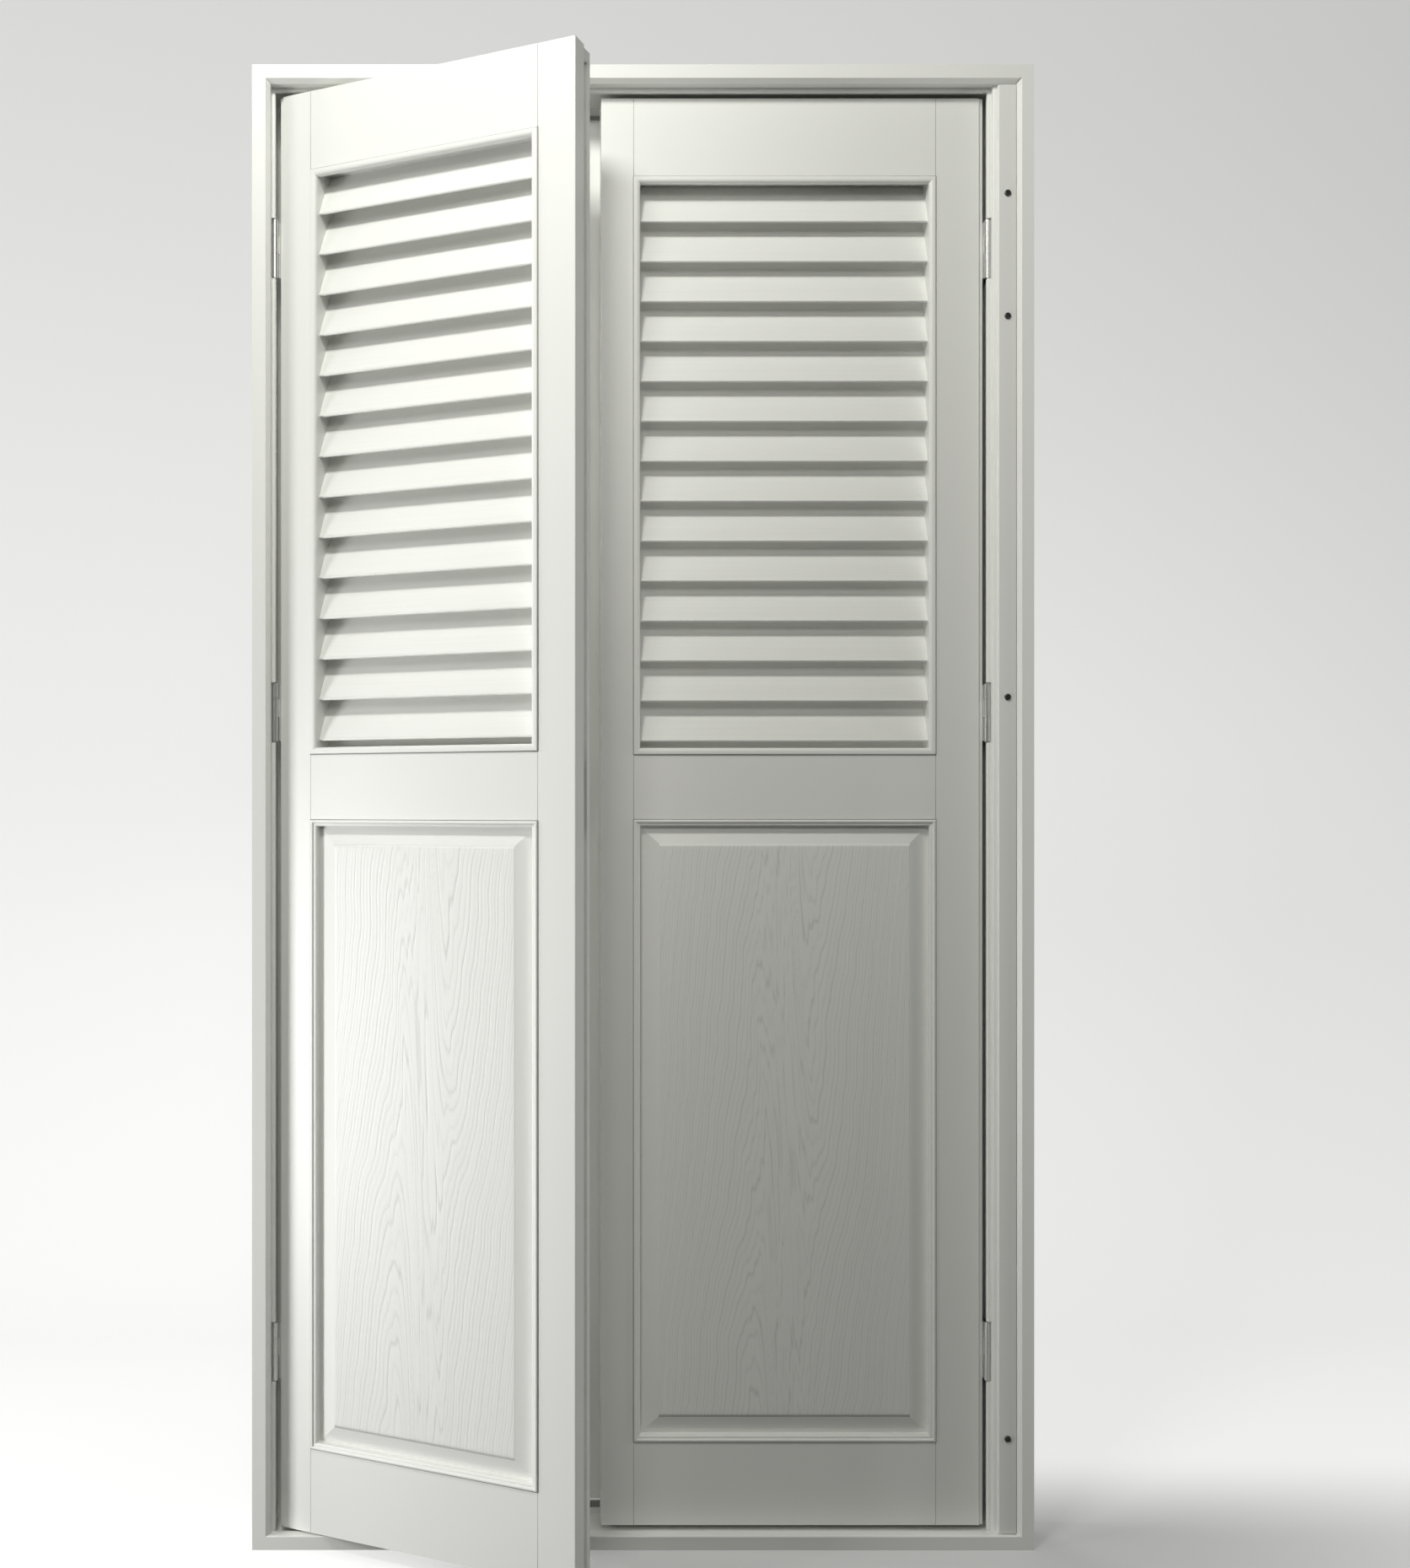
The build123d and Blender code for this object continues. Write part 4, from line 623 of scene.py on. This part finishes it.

# %% [markdown]
# ## What the paper shows
# Paper bright enough to look white would throw its light back on the shutter. So the camera sees part of its tone
# as a painted glow, brightest low down and a little brighter on the left, over paper that is darker to every other
# ray: it stays pale and still takes the shutter's shadow. In front of the shutter, on its right, the glow is
# weaker: a painted shadow of the shutter on the floor. Seen from behind, the paper lets the camera through.

# %% Paper
# the fourth value takes glow away in front of the shutter, on its right: a painted shadow on the floor
GLOW, GLOW_ACROSS, GLOW_UP, GLOW_SHADE = 0.475, 0.02, 0.16, -0.47
ACROSS_SPAN, UP_SPAN = (-1.5, 1.8), (0.0, 3.2)      # metres between the start and the end of each fade
FRONT_SPAN, RIGHT_SPAN, FAR_SPAN = (-0.02, 0.30), (-0.35, 0.0), (0.6, 1.4)
FAR_SHADE = 0.55                  # what is left of the shade far to the right
MIRRORED = 0.5                    # share of the glow that a reflection sees
PAPER_ROUGHNESS, PAPER_SHINE = 0.9, 0.1
HIDDEN_PAPER, SEEN_PAPER = (0.08, 0.08, 0.078, 1), (0.40, 0.40, 0.395, 1)
GLOW_TONE = (0.99, 1.0, 0.985, 1)


def fade(tree, place, span, start, end, kind="SMOOTHSTEP"):
    """start where the span begins, end where it ends, and a smooth or straight change between them."""
    return node(tree, "ShaderNodeMapRange", {"interpolation_type": kind}, i0=place, i1=span[0], i2=span[1],
                i3=start, i4=end).outputs[0]


def paper_glow(tree):
    """glow = GLOW + GLOW_ACROSS across + GLOW_UP up + GLOW_SHADE shade, where shade is the product of three fades:
    in front of the shutter, right of its middle, and weaker far to the right. The shade is a painted shadow of the
    shutter on the floor."""
    place = node(tree, "ShaderNodeTexCoord").outputs["Object"]
    apart = node(tree, "ShaderNodeSeparateXYZ", Vector=place).outputs
    across = fade(tree, apart["X"], ACROSS_SPAN, 1.0, 0.0, "LINEAR")
    up = fade(tree, apart["Z"], UP_SPAN, 1.0, 0.0)
    front = fade(tree, apart["Y"], FRONT_SPAN, 1.0, 0.0)
    right = fade(tree, apart["X"], RIGHT_SPAN, 0.0, 1.0)
    far_right = fade(tree, apart["X"], FAR_SPAN, 1.0, FAR_SHADE)
    # painted shadow: the glow is weaker in front of the shutter, on its right
    shade = maths(tree, "MULTIPLY", maths(tree, "MULTIPLY", front, right), far_right)
    glow = sum_of(tree, maths(tree, "MULTIPLY", across, GLOW_ACROSS), up, GLOW_UP)
    return maths(tree, "ADD", sum_of(tree, glow, shade, GLOW_SHADE), GLOW)


def sweep_material():
    """Emission strength is seen * glow, and the base colour goes from hidden to seen paper, where seen is
    camera ray + MIRRORED * mirror ray. Alpha is 1 - back side * camera ray."""
    made = bpy.data.materials.new("studio_paper")
    made.use_nodes = True
    tree = made.node_tree
    shader = tree.nodes["Principled BSDF"]
    light = node(tree, "ShaderNodeLightPath").outputs
    seen = sum_of(tree, light["Is Camera Ray"], light["Is Glossy Ray"], MIRRORED)
    strength = maths(tree, "MULTIPLY", seen, paper_glow(tree))
    paper = node(tree, "ShaderNodeMix", {"data_type": "RGBA"}, i0=seen, i6=HIDDEN_PAPER, i7=SEEN_PAPER).outputs[2]
    rear = node(tree, "ShaderNodeNewGeometry").outputs["Backfacing"]
    solid = maths(tree, "SUBTRACT", 1.0, maths(tree, "MULTIPLY", rear, light["Is Camera Ray"]))
    for value, socket in ((paper, "Base Color"), (strength, "Emission Strength"), (solid, "Alpha")):
        tree.links.new(value, shader.inputs[socket])
    shader.inputs["Emission Color"].default_value = GLOW_TONE
    shader.inputs["Roughness"].default_value = PAPER_ROUGHNESS
    shader.inputs["Specular IOR Level"].default_value = PAPER_SHINE
    return made


sweep.data.materials.append(sweep_material())
print("paper", sweep.data.materials[0].name)

# %% [markdown]
# ## Lamps and sky
# One broad lamp from the left would do for a shut door, but the open leaf would lay its shadow over the right one.
# So the light is made of several soft boxes, as a studio does it. A small high one nearly in front draws the slats'
# shadows, and a broad one in front fills them. Three from the left whiten the open leaf and the frame's side, one
# from the right grazes the leaf's free edge, a weak one reaches the corner between the leaves, and one behind
# lights the back.

# %% Lamps
def softbox(name, azimuth, elevation, distance, size, power, colour=(1, 1, 1), aim=(0.0, 0.0, 1.05)):
    """An area lamp aimed at the shutter, azimuth in degrees left of the front and elevation above level.
    Its place is aim + distance * (-sin a cos e, -cos a cos e, sin e)."""
    a, e = math.radians(azimuth), math.radians(elevation)
    way = np.array([-math.sin(a) * math.cos(e), -math.cos(a) * math.cos(e), math.sin(e)])
    lamp = bpy.data.lights.new(name, "AREA")
    lamp.shape = "RECTANGLE"
    lamp.size, lamp.size_y = size
    lamp.energy = power
    lamp.color = colour
    made = bpy.data.objects.new(name, lamp)
    made.location = np.array(aim) + distance * way
    made.rotation_euler = (math.pi / 2 - e, 0.0, -a)
    made.visible_camera = False
    bpy.context.scene.collection.objects.link(made)
    return made


WARM = (1.0, 1.0, 0.95)
lamps = [
    softbox("key_lamp", 23, 42, 2.0, (0.5, 0.3), 25, WARM, aim=(0.0, 0.0, 1.6)),
    softbox("front_lamp", 2, 25, 4.5, (1.0, 1.2), 31, WARM),
    softbox("corner_lamp", 0, 40, 0.65, (0.25, 0.25), 0.35, WARM, aim=(-0.03, 0.0, 2.02)),
    softbox("near_side_lamp", 62, 0, 1.6, (0.5, 1.4), 30, aim=(-0.45, 0.0, 0.35)),
    softbox("rear_side_lamp", 95, 20, 4.5, (1.0, 1.4), 50),
    softbox("high_side_lamp", 75, 45, 4.5, (1.0, 1.4), 9),
    softbox("edge_lamp", -85, 6, 2.6, (0.5, 0.5), 14, aim=(-0.10, -0.19, 0.50)),
    softbox("back_lamp", 165, 30, 1.9, (0.8, 0.8), 12, WARM),
]
print(len(lamps), "lamps,", sum(lamp.data.energy for lamp in lamps), "watts")

# %% [markdown]
# The rest of a studio is dark walls and a little stray light. A picture of a room could stand for it, but one even
# tone is plainer: dim to the shutter, so that it only softens the shadows, and pale to the camera past the paper.

# %% Sky
SKY_TONE = (1.0, 1.0, 0.96, 1)
SKY_LIGHT, SKY_SEEN = 0.06, 0.68

sky = bpy.data.worlds.new("studio_sky")
sky.use_nodes = True
background = sky.node_tree.nodes["Background"]
background.inputs["Color"].default_value = SKY_TONE
seen = node(sky.node_tree, "ShaderNodeLightPath").outputs["Is Camera Ray"]
strength = maths(sky.node_tree, "MULTIPLY_ADD", seen, SKY_SEEN, SKY_LIGHT)
sky.node_tree.links.new(strength, background.inputs["Strength"])
bpy.context.scene.world = sky
bpy.context.scene.view_settings.view_transform = "Standard"
print("sky", SKY_LIGHT, "for the light,", SKY_LIGHT + SKY_SEEN, "for the camera")
